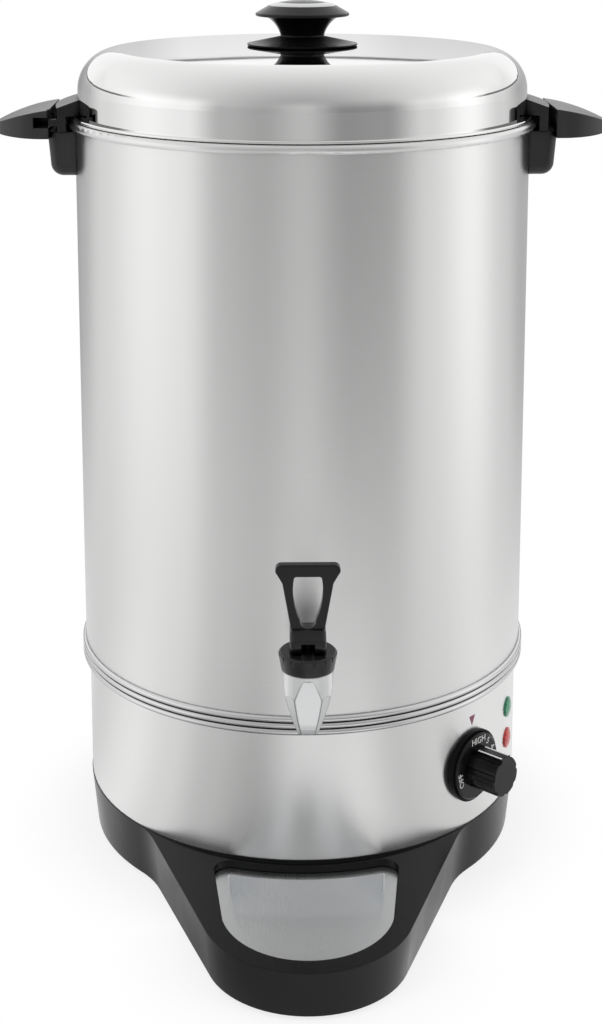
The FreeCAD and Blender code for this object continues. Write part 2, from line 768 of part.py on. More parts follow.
# Faceted spout with a round collar, a neck for the cap, and the shank through the tank's wall
def make_tap_body():
    sections = [spout_wire(spout_lip_half, spout_lip_face, spout_z),
                spout_wire(spout_middle_half, spout_middle_face, (spout_z + cap_z) / 2),
                spout_wire(spout_top_half, spout_top_face, cap_z - tiny)]
    spout = Part.makeLoft(sections, True, False)
    spout = spout.common(cylinder(spout_top_half, spout_z - over, cap_z, 0, -tap_y))
    collar_y = -tank_r - gasket_wall
    shank_y = -tank_in_r + gasket_wall + tap_nut_height + shank_end
    pieces = [spout,
              cylinder(spout_top_half, cap_z - spout_collar, cap_z, 0, -tap_y),
              cylinder(neck_r, cap_z - over, cap_z + neck_height, 0, -tap_y),
              rod(shank_r, V(0, -tap_y, shank_z), V(0, shank_y, shank_z)),
              rod(collar_r, V(0, collar_y - collar_wall, shank_z), V(0, collar_y, shank_z))]
    body = union(pieces)
    body = body.cut(cylinder(outlet_r, spout_z - over, cap_z, 0, -tap_y))
    body = body.cut(cylinder(chamber_r, seat_z, sky_z, 0, -tap_y))
    return body.cut(rod(water_r, V(0, -tap_y, shank_z), V(0, 0, shank_z)))


# Rubber ring between the collar and the tank, and another between the tank and the nut
def make_tap_gaskets():
    bore = rod(shank_r + seat, V(0, -tap_y, shank_z), V(0, 0, shank_z))
    outer = rod(collar_r, V(0, -tank_r - gasket_wall, shank_z), V(0, 0, shank_z)).cut(bore)
    outer = outer.cut(cylinder(tank_r + tiny, 0, rim_z))
    inner_end = V(0, -tank_in_r + gasket_wall, shank_z)
    inner = rod(tap_nut_r, V(0, -tank_r - over, shank_z), inner_end).cut(bore)
    inner = inner.common(cylinder(tank_in_r - tiny, 0, rim_z))
    return Part.makeCompound([outer, inner])


def make_tap_nut():
    bore = cylinder(shank_r + seat, -over, tap_nut_height + over)
    nut = hexagon(tap_nut_r, 0, tap_nut_height).cut(bore)
    return set_outward(moved(nut, 0, 0, tank_in_r - gasket_wall - tap_nut_height), 0, shank_z)


# Black cap that holds the valve: ribbed outside, hollow inside, with a hole for the stem
def make_tap_bonnet():
    roof_z = cap_top_z - cap_roof
    points = [(stem_r + fit, roof_z), (neck_r + seat, roof_z), (neck_r + seat, cap_z + seat),
              (cap_r - cap_taper, cap_z + seat), (cap_r, cap_top_z - cap_bevel),
              (cap_r - cap_bevel, cap_top_z), (stem_r + fit, cap_top_z)]
    cap = lathe(points)
    for i in range(cap_ribs):
        x, y = ring_point(cap_r + cap_groove_out, 360.0 * (i + 0.5) / cap_ribs)
        cap = cap.cut(cylinder(cap_groove, cap_z - over, cap_top_z + over, x, y))
    return moved(cap, 0, -tap_y, 0)


cup_top_z = seat_z + cup_height
spring_low_z = cup_top_z + stem_collar
spring_high_z = cap_top_z - cap_roof - seat


def make_seat_cup():
    inside = cup_r - cup_wall
    points = [(0, seat_z), (cup_r, seat_z), (cup_r, cup_top_z), (inside, cup_top_z),
              (inside, seat_z + cup_floor), (0, seat_z + cup_floor)]
    return moved(lathe(points), 0, -tap_y, 0)


# The stem: a foot in the cup, a collar under the spring, the rod, and a flat eye on the pin
def make_valve_stem():
    foot = cylinder(cup_r - cup_wall - seat, seat_z + cup_floor, cup_top_z, 0, -tap_y)
    collar = cylinder(cup_r, cup_top_z, spring_low_z - seat, 0, -tap_y)
    shaft = cylinder(stem_r, cup_top_z, pin_z, 0, -tap_y)
    eye = rod(stem_eye, V(-stem_r, -tap_y, pin_z), V(stem_r, -tap_y, pin_z))
    pin_hole = rod(pin_r + seat / 2, V(-cap_r, -tap_y, pin_z), V(cap_r, -tap_y, pin_z))
    return union([foot, collar, shaft, eye]).cut(pin_hole)


# Least gap between points of a coil's wire that lie at least half a turn apart
def turn_gap(path):
    steps = coil_steps * round(path.Length / spring_pitch)
    points = path.discretize(steps)
    half_turn = math.pi * (cup_r - spring_wire - clear)
    step = path.Length / (steps - 1)
    apart = math.ceil(half_turn / step)
    least = min(points[i].distanceToPoint(points[j])
                for i in range(steps) for j in range(i + apart, steps))
    return least - 2 * spring_wire


def make_valve_spring():
    low, high = spring_low_z + spring_wire, spring_high_z - spring_wire
    coil_r = cup_r - spring_wire - clear
    path = Part.makeHelix(spring_pitch, high - low, coil_r)
    section = Part.Wire(Part.makeCircle(spring_wire, V(coil_r, 0, 0), V(0, 1, 0)))
    coil = Part.Wire(path.Edges).makePipeShell([section], True, True)
    print("valve spring: least gap between its turns %.2f" % turn_gap(path))
    return moved(coil, 0, -tap_y, low)


def make_lever_pin():
    half = foot_half - pin_inset
    return rod(pin_r, V(-half, -tap_y, pin_z), V(half, -tap_y, pin_z))


# The lever's foot seen from the side, pin at the origin: a round cam in front that bears on the cap
def make_lever_foot():
    front = -cam_ahead - cam_r
    points = [(-cam_ahead, -cam_r), (foot_back, -cam_r), (foot_back, foot_top), (-cam_ahead, foot_top),
              (front, foot_slope), (front, 0),
              (-cam_ahead - cam_r * diagonal, -cam_r * diagonal, -cam_ahead, -cam_r)]
    wire = outline(points, lambda y, z: V(-foot_half, y, z))
    foot = Part.Face(wire).extrude(V(2 * foot_half, 0, 0))
    rounded = []
    for edge in foot.Edges:
        ends = [v.Point for v in edge.Vertexes]
        on_side = all(abs(abs(p.x) - foot_half) < tiny for p in ends) and abs(ends[0].x - ends[-1].x) < tiny
        above = max(p.z for p in ends) > 0 and min(p.z for p in ends) > -cam_r + tiny
        if on_side and above and min(p.y for p in ends) < foot_back - tiny:
            rounded.append(edge)
    return foot.makeFillet(foot_round, rounded)


# Whether an edge of the loop's slab lies on its front or back face, above the foot
def on_loop_face(edge):
    points = edge.discretize(3)
    flat = all(abs(abs(p.y) - lever_wall / 2) < tiny for p in points)
    return flat and max(p.z for p in points) > foot_top


# The loop for the fingers: straight arms under a bar with round ends, and a hole that narrows down
def make_lever_loop():
    bar_z = lever_height - lever_bar
    r = lever_bar / 2
    end_x = lever_bar_half - r
    arm_z = bar_z - arm_fall
    foot_z = foot_top - over
    end = end_x + r * diagonal
    outer = [(-arm_waist_half, foot_z), (-arm_half, arm_z), (-end, bar_z + r - r * diagonal),
             (-lever_bar_half, bar_z + r, -end_x, lever_height), (end_x, lever_height),
             (lever_bar_half, bar_z + r, end, bar_z + r - r * diagonal), (arm_half, arm_z),
             (arm_waist_half, foot_z)]
    loop = slab(outer, -lever_wall / 2, lever_wall / 2)
    loop = loop.makeFillet(lever_round, [edge for edge in loop.Edges if on_loop_face(edge)])
    corner = hole_corner * (1 - diagonal)
    side_z = bar_z - hole_corner
    low_z = hole_floor + hole_end
    middle = (hole_half + hole_low_half) / 2 + hole_bulge
    middle_z = (side_z + low_z) / 2
    top_x = hole_half - hole_corner
    hole = [(-top_x, bar_z), (top_x, bar_z), (hole_half - corner, bar_z - corner, hole_half, side_z),
            (middle, middle_z, hole_low_half, low_z), (0, hole_floor, -hole_low_half, low_z),
            (-middle, middle_z, -hole_half, side_z), (-hole_half + corner, bar_z - corner, -top_x, bar_z)]
    return loop.cut(slab(hole, -lever_wall, lever_wall))


def make_tap_lever():
    lever = union([make_lever_foot(), make_lever_loop()])
    eye_room = stem_eye + clear
    notch = box(-notch_half, notch_half, -far, eye_room, -far, notch_top)
    lever = lever.cut(notch)
    lever = lever.cut(rod(eye_room, V(-notch_half, 0, 0), V(notch_half, 0, 0)))
    lever = lever.cut(rod(pin_r + fit, V(-2 * foot_half, 0, 0), V(2 * foot_half, 0, 0)))
    return moved(lever, 0, -tap_y, pin_z)


dial_front = dial_back + dial_depth
grip_end = dial_front + grip_length
shaft_end = grip_end - shaft_cap
thermostat_face = skirt_in_r - thermostat_gap
shaft_start = thermostat_face - shaft_in


def make_dial_bezel():
    ring = tube(bezel_r, dial_r + clear, skirt_r - 2 * bezel_depth, skirt_r + bezel_depth)
    ring = set_outward(ring, dial_azimuth, dial_z)
    return ring.cut(cylinder(skirt_r + tiny, 0, rim_z))


# The dial: a hollow disc that carries the numbers, and a fluted grip with a pointer ridge
def make_dial():
    inside = dial_r - dial_wall
    disc = [(0, dial_front - dial_wall), (inside, dial_front - dial_wall), (inside, dial_back),
            (dial_r, dial_back), (dial_r, dial_front - dial_bevel),
            (dial_r - dial_bevel, dial_front), (0, dial_front)]
    low = dial_front - tiny
    grip = [(0, low), (grip_r, low), (grip_r, grip_end - grip_bevel),
            (grip_r - grip_bevel, grip_end), (0, grip_end)]
    flutes = []
    for i in range(grip_flutes):
        x, y = ring_point(grip_r + flute_out, 180 + 360.0 * (i + 0.5) / grip_flutes)
        flutes.append(cylinder(flute_r, dial_front, grip_end + over, x, y))
    ridge = box(-ridge_half, ridge_half, 0, grip_r + ridge_rise, low, grip_end)
    dial = union([lathe(disc), lathe(grip).cut(flutes), ridge])
    dial = dial.cut(cylinder(shaft_r + seat, 0, shaft_end + seat))
    return set_outward(dial, dial_azimuth, dial_z)


def make_thermostat_shaft():
    return set_outward(cylinder(shaft_r, shaft_start, shaft_end), dial_azimuth, dial_z)


def make_thermostat_body():
    low = thermostat_face - thermostat_depth
    case = box(-thermostat_half, thermostat_half, -thermostat_half, thermostat_half,
               low, thermostat_face)
    shoulder_r = 2 * bushing_r
    shoulder_end = skirt_in_r - sag(skirt_in_r, shoulder_r) - seat
    shoulder = cylinder(shoulder_r, thermostat_face - over, shoulder_end)
    bushing = cylinder(bushing_r, thermostat_face - over, skirt_r + bushing_out)
    bore = cylinder(shaft_r + fit, shaft_start - clear, far)
    return set_outward(union([case, shoulder, bushing]).cut(bore), dial_azimuth, dial_z)


def make_thermostat_nut():
    nut = hexagon(bushing_nut_r, skirt_r, skirt_r + bushing_out)
    nut = nut.cut(cylinder(bushing_r + seat, 0, far))
    return set_outward(nut, dial_azimuth, dial_z)


def make_lamp(height):
    dome_z = skirt_r + lamp_dome
    edge_z_out = skirt_r + lamp_edge
    ball = (lamp_r ** 2 + (lamp_dome - lamp_edge) ** 2) / (2 * (lamp_dome - lamp_edge))
    middle_r = lamp_r / 2
    lens = [(0, skirt_r - over), (lamp_r, skirt_r - over), (lamp_r, edge_z_out),
            (middle_r, dome_z - sag(ball, middle_r), pole_flat, dome_z - sag(ball, pole_flat)),
            (0, dome_z - sag(ball, pole_flat))]
    head = set_outward(lathe(lens), lamp_azimuth, ledge_z + height)
    head = head.cut(cylinder(skirt_r + tiny, 0, rim_z))
    body = cylinder(lamp_body_r, skirt_r - lamp_body_length, edge_z_out)
    return union([head, set_outward(body, lamp_azimuth, ledge_z + height)])


def make_lamp_nuts():
    high = skirt_in_r - sag(skirt_in_r, lamp_nut_r) - seat
    nut = hexagon(lamp_nut_r, high - lamp_nut_wall, high).cut(cylinder(lamp_body_r + seat, 0, far))
    return Part.makeCompound([set_outward(nut, lamp_azimuth, ledge_z + height)
                              for height in (lamp_low, lamp_high)])


inlet_face = skirt_r + inlet_flange


# Appliance socket: a flange that follows the skirt, a recess and three flat pins
def make_power_inlet():
    flange_high = inlet_half_height + inlet_border
    flange = box(-inlet_flange_half, inlet_flange_half, -flange_high, flange_high,
                 skirt_r - 3 * inlet_flange, inlet_face)
    flange = set_outward(flange, 180, inlet_z).cut(cylinder(skirt_r + tiny, 0, rim_z))
    body = box(-inlet_half, inlet_half, -inlet_half_height, inlet_half_height,
               inlet_face - inlet_depth, inlet_face)
    body = union([flange, set_outward(body, 180, inlet_z)])
    recess = box(-inlet_recess_half, inlet_recess_half, -inlet_recess_half_height,
                 inlet_recess_half_height, inlet_face - inlet_recess, inlet_face + over)
    body = body.cut(set_outward(recess, 180, inlet_z))
    for x in (-inlet_screw_spread / 2, inlet_screw_spread / 2):
        hole = cylinder(foot_screw_r + seat, 0, far, x, 0)
        body = body.cut(set_outward(hole, 180, inlet_z))
    return body


def make_inlet_pins():
    back = inlet_face - inlet_recess
    pins = []
    for x, y in ((-inlet_pin_spread, -inlet_pin_step), (0, inlet_pin_step),
                 (inlet_pin_spread, -inlet_pin_step)):
        pin = box(x - inlet_pin_half_wall, x + inlet_pin_half_wall, y - inlet_pin_half,
                  y + inlet_pin_half, back, back + inlet_pin_length)
        pins.append(set_outward(pin, 180, inlet_z))
    return Part.makeCompound(pins)


def make_inlet_screws():
    screws = []
    for x in (-inlet_screw_spread / 2, inlet_screw_spread / 2):
        head = cylinder(screw_head_r, inlet_face, inlet_face + screw_head_height, x, 0)
        shank = cylinder(foot_screw_r, skirt_in_r - inlet_screw_in, inlet_face + over, x, 0)
        screws.append(set_outward(union([head, shank]), 180, inlet_z))
    return Part.makeCompound(screws)


lid_z = rim_z + clear
hem_top_z = lid_z + 2 * lid_hem
slot_z = rim_z - slot_low
lug_screw_z = rim_z + lug_screw_above
shoulder_z = lid_z + lid_wall_height
shoulder_x = lid_r - lid_shoulder
lid_top_z = shoulder_z + lid_shoulder + lid_crown
# The crown is part of a ball that meets the round shoulder without an edge
crown_ball = (shoulder_x ** 2 + (lid_top_z - shoulder_z) ** 2 - lid_shoulder ** 2) / (2 * lid_crown)
crown_angle = math.asin(shoulder_x / (crown_ball - lid_shoulder))


# Points of the lid's section: on the shoulder and on the crown, at an angle from upright
def on_shoulder(inset, angle):
    r = lid_shoulder - inset
    return shoulder_x + r * math.sin(angle), shoulder_z + r * math.cos(angle)


def on_crown(inset, angle):
    r = crown_ball - inset
    return r * math.sin(angle), lid_top_z - crown_ball + r * math.cos(angle)


# The lid's pressed sheet: plug, resting flange, wall, rolled shoulder and slightly crowned top
def make_lid_shell():
    plug_r = tank_in_r - plug_gap
    hem_r = lid_r + lid_bead - lid_hem
    quarter = math.pi / 2
    half = (crown_angle + quarter) / 2
    points = [(plug_r - sheet, lid_z - plug_depth), (plug_r, lid_z - plug_depth), (plug_r, lid_z),
              (hem_r, lid_z), (hem_r + lid_hem, lid_z + lid_hem, hem_r, hem_top_z),
              (lid_r, hem_top_z), (lid_r, shoulder_z),
              on_shoulder(0, half) + on_shoulder(0, crown_angle),
              on_crown(0, crown_angle / 2) + on_crown(0, 0),
              on_crown(sheet, 0),
              on_crown(sheet, crown_angle / 2) + on_crown(sheet, crown_angle),
              on_shoulder(sheet, half) + on_shoulder(sheet, quarter),
              (lid_r - sheet, hem_top_z), (plug_r - sheet, hem_top_z)]
    shell = lathe(points).cut(cylinder(knob_screw_r + fit, lid_z, sky_z))
    for angle in (0, 180):
        for y in (-lug_screw_spread / 2, lug_screw_spread / 2):
            hole = rod(lug_screw_r + seat, V(0, y, lug_screw_z), V(far, y, lug_screw_z))
            shell = shell.cut(turned(hole, angle))
    return shell


guard_z = lid_top_z + seat
neck_z = guard_z + guard_rise
knob_top_z = guard_z + knob_height
ring_seat_z = knob_top_z - ring_outer_drop - ring_wall
ring_in_r = ring_r - ring_width
screw_hole_z = knob_top_z - knob_screw_end
washer_top_z = lid_top_z - sheet - clear
washer_low_z = washer_top_z - washer_wall


# Heat guard under the knob: its rim stands clear of the lid and its top rises to the neck
def make_knob_guard():
    hole_r = knob_screw_r + fit
    rim_low = guard_z + guard_lift
    points = [(hole_r, guard_z), (guard_seat_r, guard_z), (guard_r, rim_low),
              (guard_r, rim_low + guard_edge), (knob_neck_r + guard_collar, neck_z), (hole_r, neck_z)]
    return lathe(points)


# The knob: a neck that flares out under a head with a sunk ring and a domed middle
def make_lid_knob():
    top = knob_top_z
    edge = top - knob_edge
    flare_middle = top - (flare_start + flare_end) / 2
    ball = (ring_in_r ** 2 + ring_inner_drop ** 2) / (2 * ring_inner_drop)
    points = [(0, neck_z + seat), (knob_neck_r, neck_z + seat), (knob_neck_r, top - flare_start),
              (flare_middle_r, flare_middle, flare_r, top - flare_end),
              (knob_r - knob_edge_in, edge - knob_edge_half),
              (knob_r, edge, knob_r - knob_edge_in, edge + knob_edge_half),
              (ring_r + seat, top - ring_outer_drop), (ring_r + seat, ring_seat_z),
              (ring_in_r - seat, ring_seat_z), (ring_in_r - seat, top - ring_inner_drop),
              (ring_in_r / 2, top - sag(ball, ring_in_r / 2), pole_flat, top - sag(ball, pole_flat)),
              (0, top - sag(ball, pole_flat))]
    return lathe(points).cut(cylinder(knob_screw_r + fit, 0, screw_hole_z))


def make_knob_ring():
    low = ring_seat_z + seat
    outer_z, inner_z = knob_top_z - ring_outer_drop, knob_top_z - ring_inner_drop
    points = [(ring_in_r, low), (ring_r, low), (ring_r, outer_z),
              (ring_r - ring_width / 2, (outer_z + inner_z) / 2 + ring_crown, ring_in_r, inner_z)]
    return lathe(points)


def make_knob_washer():
    return tube(washer_r, knob_screw_r + seat, washer_low_z, washer_top_z)


def make_knob_screw():
    head = cylinder(2 * knob_screw_r, washer_low_z - knob_screw_head, washer_low_z)
    return union([head, cylinder(knob_screw_r, washer_low_z - over, screw_hole_z - clear)])


# A sector of a ring about the tank's axis, from angle a to angle b seen from above
def sector(r_in, r_out, a, b, low, high):
    points = [(r_in, low), (r_out, low), (r_out, high), (r_in, high)]
    return turned(lathe(points, b - a), a)


# The lug at +X: a plate over the rim, a part that hangs outside it, and the locking tongue
def make_lid_lug(angle):
    wall = lid_r + seat
    hang_in = rim_out_r + lug_air
    hang_low = rim_z - lug_hang
    plate_low = hem_top_z + clear
    points = [(wall, plate_low), (hang_in, plate_low), (hang_in, hang_low), (lug_out_r, hang_low),
              (lug_out_r, rim_z + lug_rise - lug_fall), (wall, rim_z + lug_rise)]
    lug = turned(lathe(points, 2 * lug_half_angle), -lug_half_angle)
    tongue = sector(lug_out_r - over, lug_out_r + tongue_reach, lug_half_angle - tongue_angle,
                    lug_half_angle, slot_z + slot_room, slot_z + slot_height - slot_room)
    lug = union([lug, tongue])
    for y in (-lug_screw_spread / 2, lug_screw_spread / 2):
        hole_end = V(lid_r + lug_screw_in + over, y, lug_screw_z)
        lug = lug.cut(rod(lug_screw_r + seat, V(0, y, lug_screw_z), hole_end))
    return turned(lug, angle)


def make_lug_screws():
    screws = []
    inner = lid_r - sheet
    for angle in (0, 180):
        for y in (-lug_screw_spread / 2, lug_screw_spread / 2):
            face = inner - sag(inner, abs(y) + screw_head_r) - seat
            head = rod(screw_head_r, V(face - screw_head_height, y, lug_screw_z), V(face, y, lug_screw_z))
            end = V(lid_r + lug_screw_in, y, lug_screw_z)
            shank = rod(lug_screw_r, V(face - over, y, lug_screw_z), end)
            screws.append(turned(union([head, shank]), angle))
    return Part.makeCompound(screws)


handle_low_z = rim_z - handle_drop
leg_low_z = handle_low_z - leg_height
stud_z = handle_low_z - leg_height / 2
leg_face = tank_r + leg_out
nut_x = leg_face - nut_height - nut_inset
stud_end = nut_x + nut_height - stud_inset
slot_out_r = handle_in_r + slot_reach


# A grip's outline seen from above, moved in by inset: straight sides and a round end
def plan_prism(inset, low, high):
    start = handle_in_r + handle_straight
    half = handle_half - inset
    points = [(handle_gap, -half), (start, -half), (handle_reach - inset, 0, start, half),
              (handle_gap, half)]
    return prism(points, low, high).cut(cylinder(handle_in_r, 0, sky_z))


# Whether an edge of the leg's slab runs up one of its two outer corners
def on_leg_corner(edge):
    points = edge.discretize(3)
    on_side = all(abs(abs(p.y) - leg_half) < tiny for p in points)
    outer = all(p.x > leg_face - leg_corner + tiny for p in points[1:-1])
    return on_side and outer and abs(points[0].z - points[-1].z) > tiny


# The handle at +X: a tapered grip with a hollow underside, a leg on the tank and the lid's slot
def make_handle(angle):
    tip_z = handle_low_z + handle_tip
    root_z = handle_low_z + handle_root
    middle = (handle_in_r + handle_reach) / 2
    middle_z = (tip_z + root_z) / 2 + handle_bulge
    root_low = handle_low_z - handle_sag
    past = handle_reach + over
    wide = handle_half + over
    grip = [(handle_in_r, root_low), (middle, handle_low_z - handle_belly,
                                      handle_reach - handle_chin, handle_low_z - handle_chin_low),
            (past, handle_low_z + handle_chin_high), (past, tip_z - handle_edge),
            (handle_reach - handle_edge, tip_z), (middle, middle_z, handle_in_r, root_z)]
    inside = tank_r - leg_corner
    turn = leg_corner * (1 - diagonal)
    leg_top_z = slot_z - leg_gap
    leg = [(inside, leg_low_z), (leg_face - leg_corner, leg_low_z),
           (leg_face - turn, leg_low_z + turn, leg_face, leg_low_z + leg_corner),
           (leg_face + leg_flare, handle_low_z), (leg_face + leg_flare, leg_top_z), (inside, leg_top_z)]
    handle = slab(grip, -wide, wide).common(plan_prism(0, leg_low_z, sky_z))
    hollow_in = slot_out_r + handle_wall
    hollow = [(hollow_in, root_low - over), (past, root_low - over),
              (past, tip_z - handle_wall), (middle, middle_z - handle_wall),
              (hollow_in, middle_z - handle_wall)]
    hollow = slab(hollow, -wide, wide).common(plan_prism(handle_wall, leg_low_z, sky_z))
    rib = box(leg_face, handle_reach, -rib_wall / 2, rib_wall / 2, handle_low_z, root_z)
    leg = slab(leg, -leg_half, leg_half)
    leg = leg.makeFillet(leg_round, [edge for edge in leg.Edges if on_leg_corner(edge)])
    handle = union([handle.cut(hollow.cut(rib)), leg])
    handle = handle.cut(cylinder(tank_r + tiny, 0, sky_z))
    mouth_r = lug_out_r + tongue_reach + 2 * clear
    mouth = lug_half_angle - tongue_angle - angle_room
    out = lug_half_angle + open_turn
    handle = handle.cut(sector(tank_r, slot_out_r, mouth - lock_turn, out, slot_z, slot_z + slot_height))
    handle = handle.cut(sector(tank_r, mouth_r, mouth, out, slot_z, sky_z))
    for y in (-stud_spread / 2, stud_spread / 2):
        handle = handle.cut(rod(stud_r + seat, V(0, y, stud_z), V(far, y, stud_z)))
        handle = handle.cut(rod(nut_r + 2 * seat, V(nut_x, y, stud_z), V(far, y, stud_z)))
    return turned(handle, angle)


def make_handle_studs():
    studs = []
    for angle in (0, 180):
        for y in (-stud_spread / 2, stud_spread / 2):
            stud = rod(stud_r, V(0, y, stud_z), V(stud_end, y, stud_z))
            studs.append(turned(stud.cut(cylinder(tank_r + tiny, 0, sky_z)), angle))
    return Part.makeCompound(studs)


def make_handle_nuts():
    nuts = []
    for angle in (0, 180):
        for y in (-stud_spread / 2, stud_spread / 2):
            nut = rod(nut_r, V(nut_x, y, stud_z), V(nut_x + nut_height, y, stud_z))
            hole = rod(stud_r + seat, V(nut_x - over, y, stud_z), V(stud_end + seat, y, stud_z))
            nuts.append(turned(nut.cut(hole), angle))
    return Part.makeCompound(nuts)


parts = {
    "base_housing": make_base_housing(),
    "base_cover": make_base_cover(),
    "foot_screws": make_foot_screws(),
    "drip_tray": make_drip_tray(),
    "skirt_shell": make_skirt_shell(),
    "mid_band": make_mid_band(),
    "tank_shell": make_tank_shell(),
    "tank_floor": make_tank_floor(),
    "heater_plate": make_heater_plate(),
    "heating_element": make_heating_element(),
    "element_terminals": make_element_terminals(),
    "sensor_bulb": make_sensor_bulb(),
    "bulb_clips": make_bulb_clips(),
    "thermal_cutout": make_thermal_cutout(),
    "terminal_block": make_terminal_block(),
    "tap_body": make_tap_body(),
    "tap_gaskets": make_tap_gaskets(),
    "tap_nut": make_tap_nut(),
    "tap_bonnet": make_tap_bonnet(),
    "seat_cup": make_seat_cup(),
    "valve_stem": make_valve_stem(),
    "valve_spring": make_valve_spring(),
    "lever_pin": make_lever_pin(),
    "tap_lever": make_tap_lever(),
    "dial_bezel": make_dial_bezel(),
    "dial": make_dial(),
    "thermostat_shaft": make_thermostat_shaft(),
    "thermostat_body": make_thermostat_body(),
    "thermostat_nut": make_thermostat_nut(),
    "lamp_green": make_lamp(lamp_high),
    "lamp_red": make_lamp(lamp_low),
    "lamp_nuts": make_lamp_nuts(),
    "power_inlet": make_power_inlet(),
    "inlet_pins": make_inlet_pins(),
    "inlet_screws": make_inlet_screws(),
    "lid_shell": make_lid_shell(),
    "lid_lug_left": make_lid_lug(180),
    "lid_lug_right": make_lid_lug(0),
    "lug_screws": make_lug_screws(),
    "knob_guard": make_knob_guard(),
    "lid_knob": make_lid_knob(),
    "knob_ring": make_knob_ring(),
    "knob_washer": make_knob_washer(),
    "knob_screw": make_knob_screw(),
    "handle_left": make_handle(180),
    "handle_right": make_handle(0),
    "handle_studs": make_handle_studs(),
    "handle_nuts": make_handle_nuts(),
}
for number, (foot_x, foot_y) in enumerate(foot_places, 1):
    parts["foot_%d" % number] = make_foot(foot_x, foot_y)

os.makedirs("parts", exist_ok=True)
for name, shape in parts.items():
    moved(shape, 0, tank_shift, 0).exportStep("parts/%s.step" % name)
    print("%-20s solids %d valid %s volume %.0f" % (name, len(shape.Solids), shape.isValid(), shape.Volume))
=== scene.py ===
import json
import math
import bpy
from mathutils import Matrix, Vector


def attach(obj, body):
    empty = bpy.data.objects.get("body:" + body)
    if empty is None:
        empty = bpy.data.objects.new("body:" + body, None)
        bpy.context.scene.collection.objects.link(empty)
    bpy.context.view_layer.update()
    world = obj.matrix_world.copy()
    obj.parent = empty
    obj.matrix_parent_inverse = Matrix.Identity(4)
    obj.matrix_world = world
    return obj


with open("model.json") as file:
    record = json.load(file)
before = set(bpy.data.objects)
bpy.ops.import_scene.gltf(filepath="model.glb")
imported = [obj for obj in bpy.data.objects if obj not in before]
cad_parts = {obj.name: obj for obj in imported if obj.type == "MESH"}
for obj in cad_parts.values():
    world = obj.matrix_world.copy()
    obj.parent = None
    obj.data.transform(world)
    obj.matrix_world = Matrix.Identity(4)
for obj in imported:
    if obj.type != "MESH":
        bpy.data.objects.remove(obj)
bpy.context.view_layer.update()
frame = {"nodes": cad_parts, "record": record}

nodes = frame["nodes"]
scene = bpy.context.scene
tankAxisY = 0.05106  # where the tank's axis stands in the frame
print("frame loaded,", len(nodes), "nodes")


def sine(degrees):
    return math.sin(math.radians(degrees))


def opaque(color):
    return color + (1.0,)


def makeMaterial(name):
    material = bpy.data.materials.new(name)
    material.use_nodes = True
    material.node_tree.nodes.clear()
    return material


# a new node; each input gets a value, or a link from another node's socket
def addNode(tree, kind, inputs=None, **settings):
    node = tree.nodes.new(kind)
    for key, value in settings.items():
        setattr(node, key, value)
    for key, value in (inputs or {}).items():
        if isinstance(value, bpy.types.NodeSocket):
            tree.links.new(value, node.inputs[key])
        else:
            node.inputs[key].default_value = value
    return node


def addMath(tree, operation, *values):
    node = addNode(tree, "ShaderNodeMath", dict(enumerate(values)), operation=operation)
    return node.outputs["Value"]


# carries a value from one span to another and stops at the ends
def addSpan(tree, value, start, end=(0.0, 1.0), smooth=False):
    node = addNode(tree, "ShaderNodeMapRange",
                   {"Value": value, "From Min": start[0], "From Max": start[1],
                    "To Min": end[0], "To Max": end[1]},
                   interpolation_type="SMOOTHSTEP" if smooth else "LINEAR")
    return node.outputs["Result"]


# mixes two numbers (FLOAT) or two colours (RGBA)
def addMix(tree, kind, share, first, second):
    node = addNode(tree, "ShaderNodeMix", {"Factor": share, "A": first, "B": second},
                   data_type=kind)
    return node.outputs["Result"]


def addMixShader(tree, share, first, second):
    node = addNode(tree, "ShaderNodeMixShader", {0: share, 1: first, 2: second})
    return node.outputs["Shader"]


# the rays by which mirrors and glass see what is round them
def addShinyRays(tree, path):
    return addMath(tree, "MAXIMUM", path.outputs["Is Glossy Ray"],
                   path.outputs["Is Transmission Ray"])


# an empty shader group: inputs as name: (kind, value), outputs as name: kind
def newGroup(name, inputs, outputs):
    group = bpy.data.node_groups.new(name, "ShaderNodeTree")
    for label, (kind, value) in inputs.items():
        socket = group.interface.new_socket(name=label, in_out="INPUT",
                                            socket_type="NodeSocket" + kind)
        socket.default_value = value
    for label, kind in outputs.items():
        group.interface.new_socket(name=label, in_out="OUTPUT", socket_type="NodeSocket" + kind)
    return group


def placeGroup(tree, group, inputs):
    return addNode(tree, "ShaderNodeGroup", inputs, node_tree=group)


# brightness by the angle of a direction from the front, towards +X
def addTurnRamp(tree, direction, levels):
    split = addNode(tree, "ShaderNodeSeparateXYZ", {"Vector": direction})
    front = addMath(tree, "MULTIPLY", split.outputs["Y"], -1.0)
    angle = addMath(tree, "ARCTAN2", split.outputs["X"], front)
    ramp = addNode(tree, "ShaderNodeValToRGB", {"Fac": addSpan(tree, angle, (-math.pi, math.pi))})
    ramp.color_ramp.interpolation = "EASE"
    while len(ramp.color_ramp.elements) < len(levels):
        ramp.color_ramp.elements.new(0.5)
    for element, (turn, level) in zip(ramp.color_ramp.elements, levels):
        element.position = turn / 360.0 + 0.5
        element.color = (level, level, level, 1.0)
    return ramp.outputs["Color"]


gapSamples = 6  # rays that look for a gap, at each point of the surface


# a mask for painted shade: 0 where surfaces come close to each other, 1 in the open
def makeGapShade(samples):
    group = newGroup("gapShade", {"Distance": ("Float", 0.008), "Closed": ("Float", 0.3),
                                  "Open": ("Float", 0.7)}, {"Open": "Float"})
    start = addNode(group, "NodeGroupInput")
    hollows = addNode(group, "ShaderNodeAmbientOcclusion",
                      {"Distance": start.outputs["Distance"]}, samples=samples)
    depth = addSpan(group, hollows.outputs["AO"],
                    (start.outputs["Closed"], start.outputs["Open"]))
    addNode(group, "NodeGroupOutput", {"Open": depth})
    return group


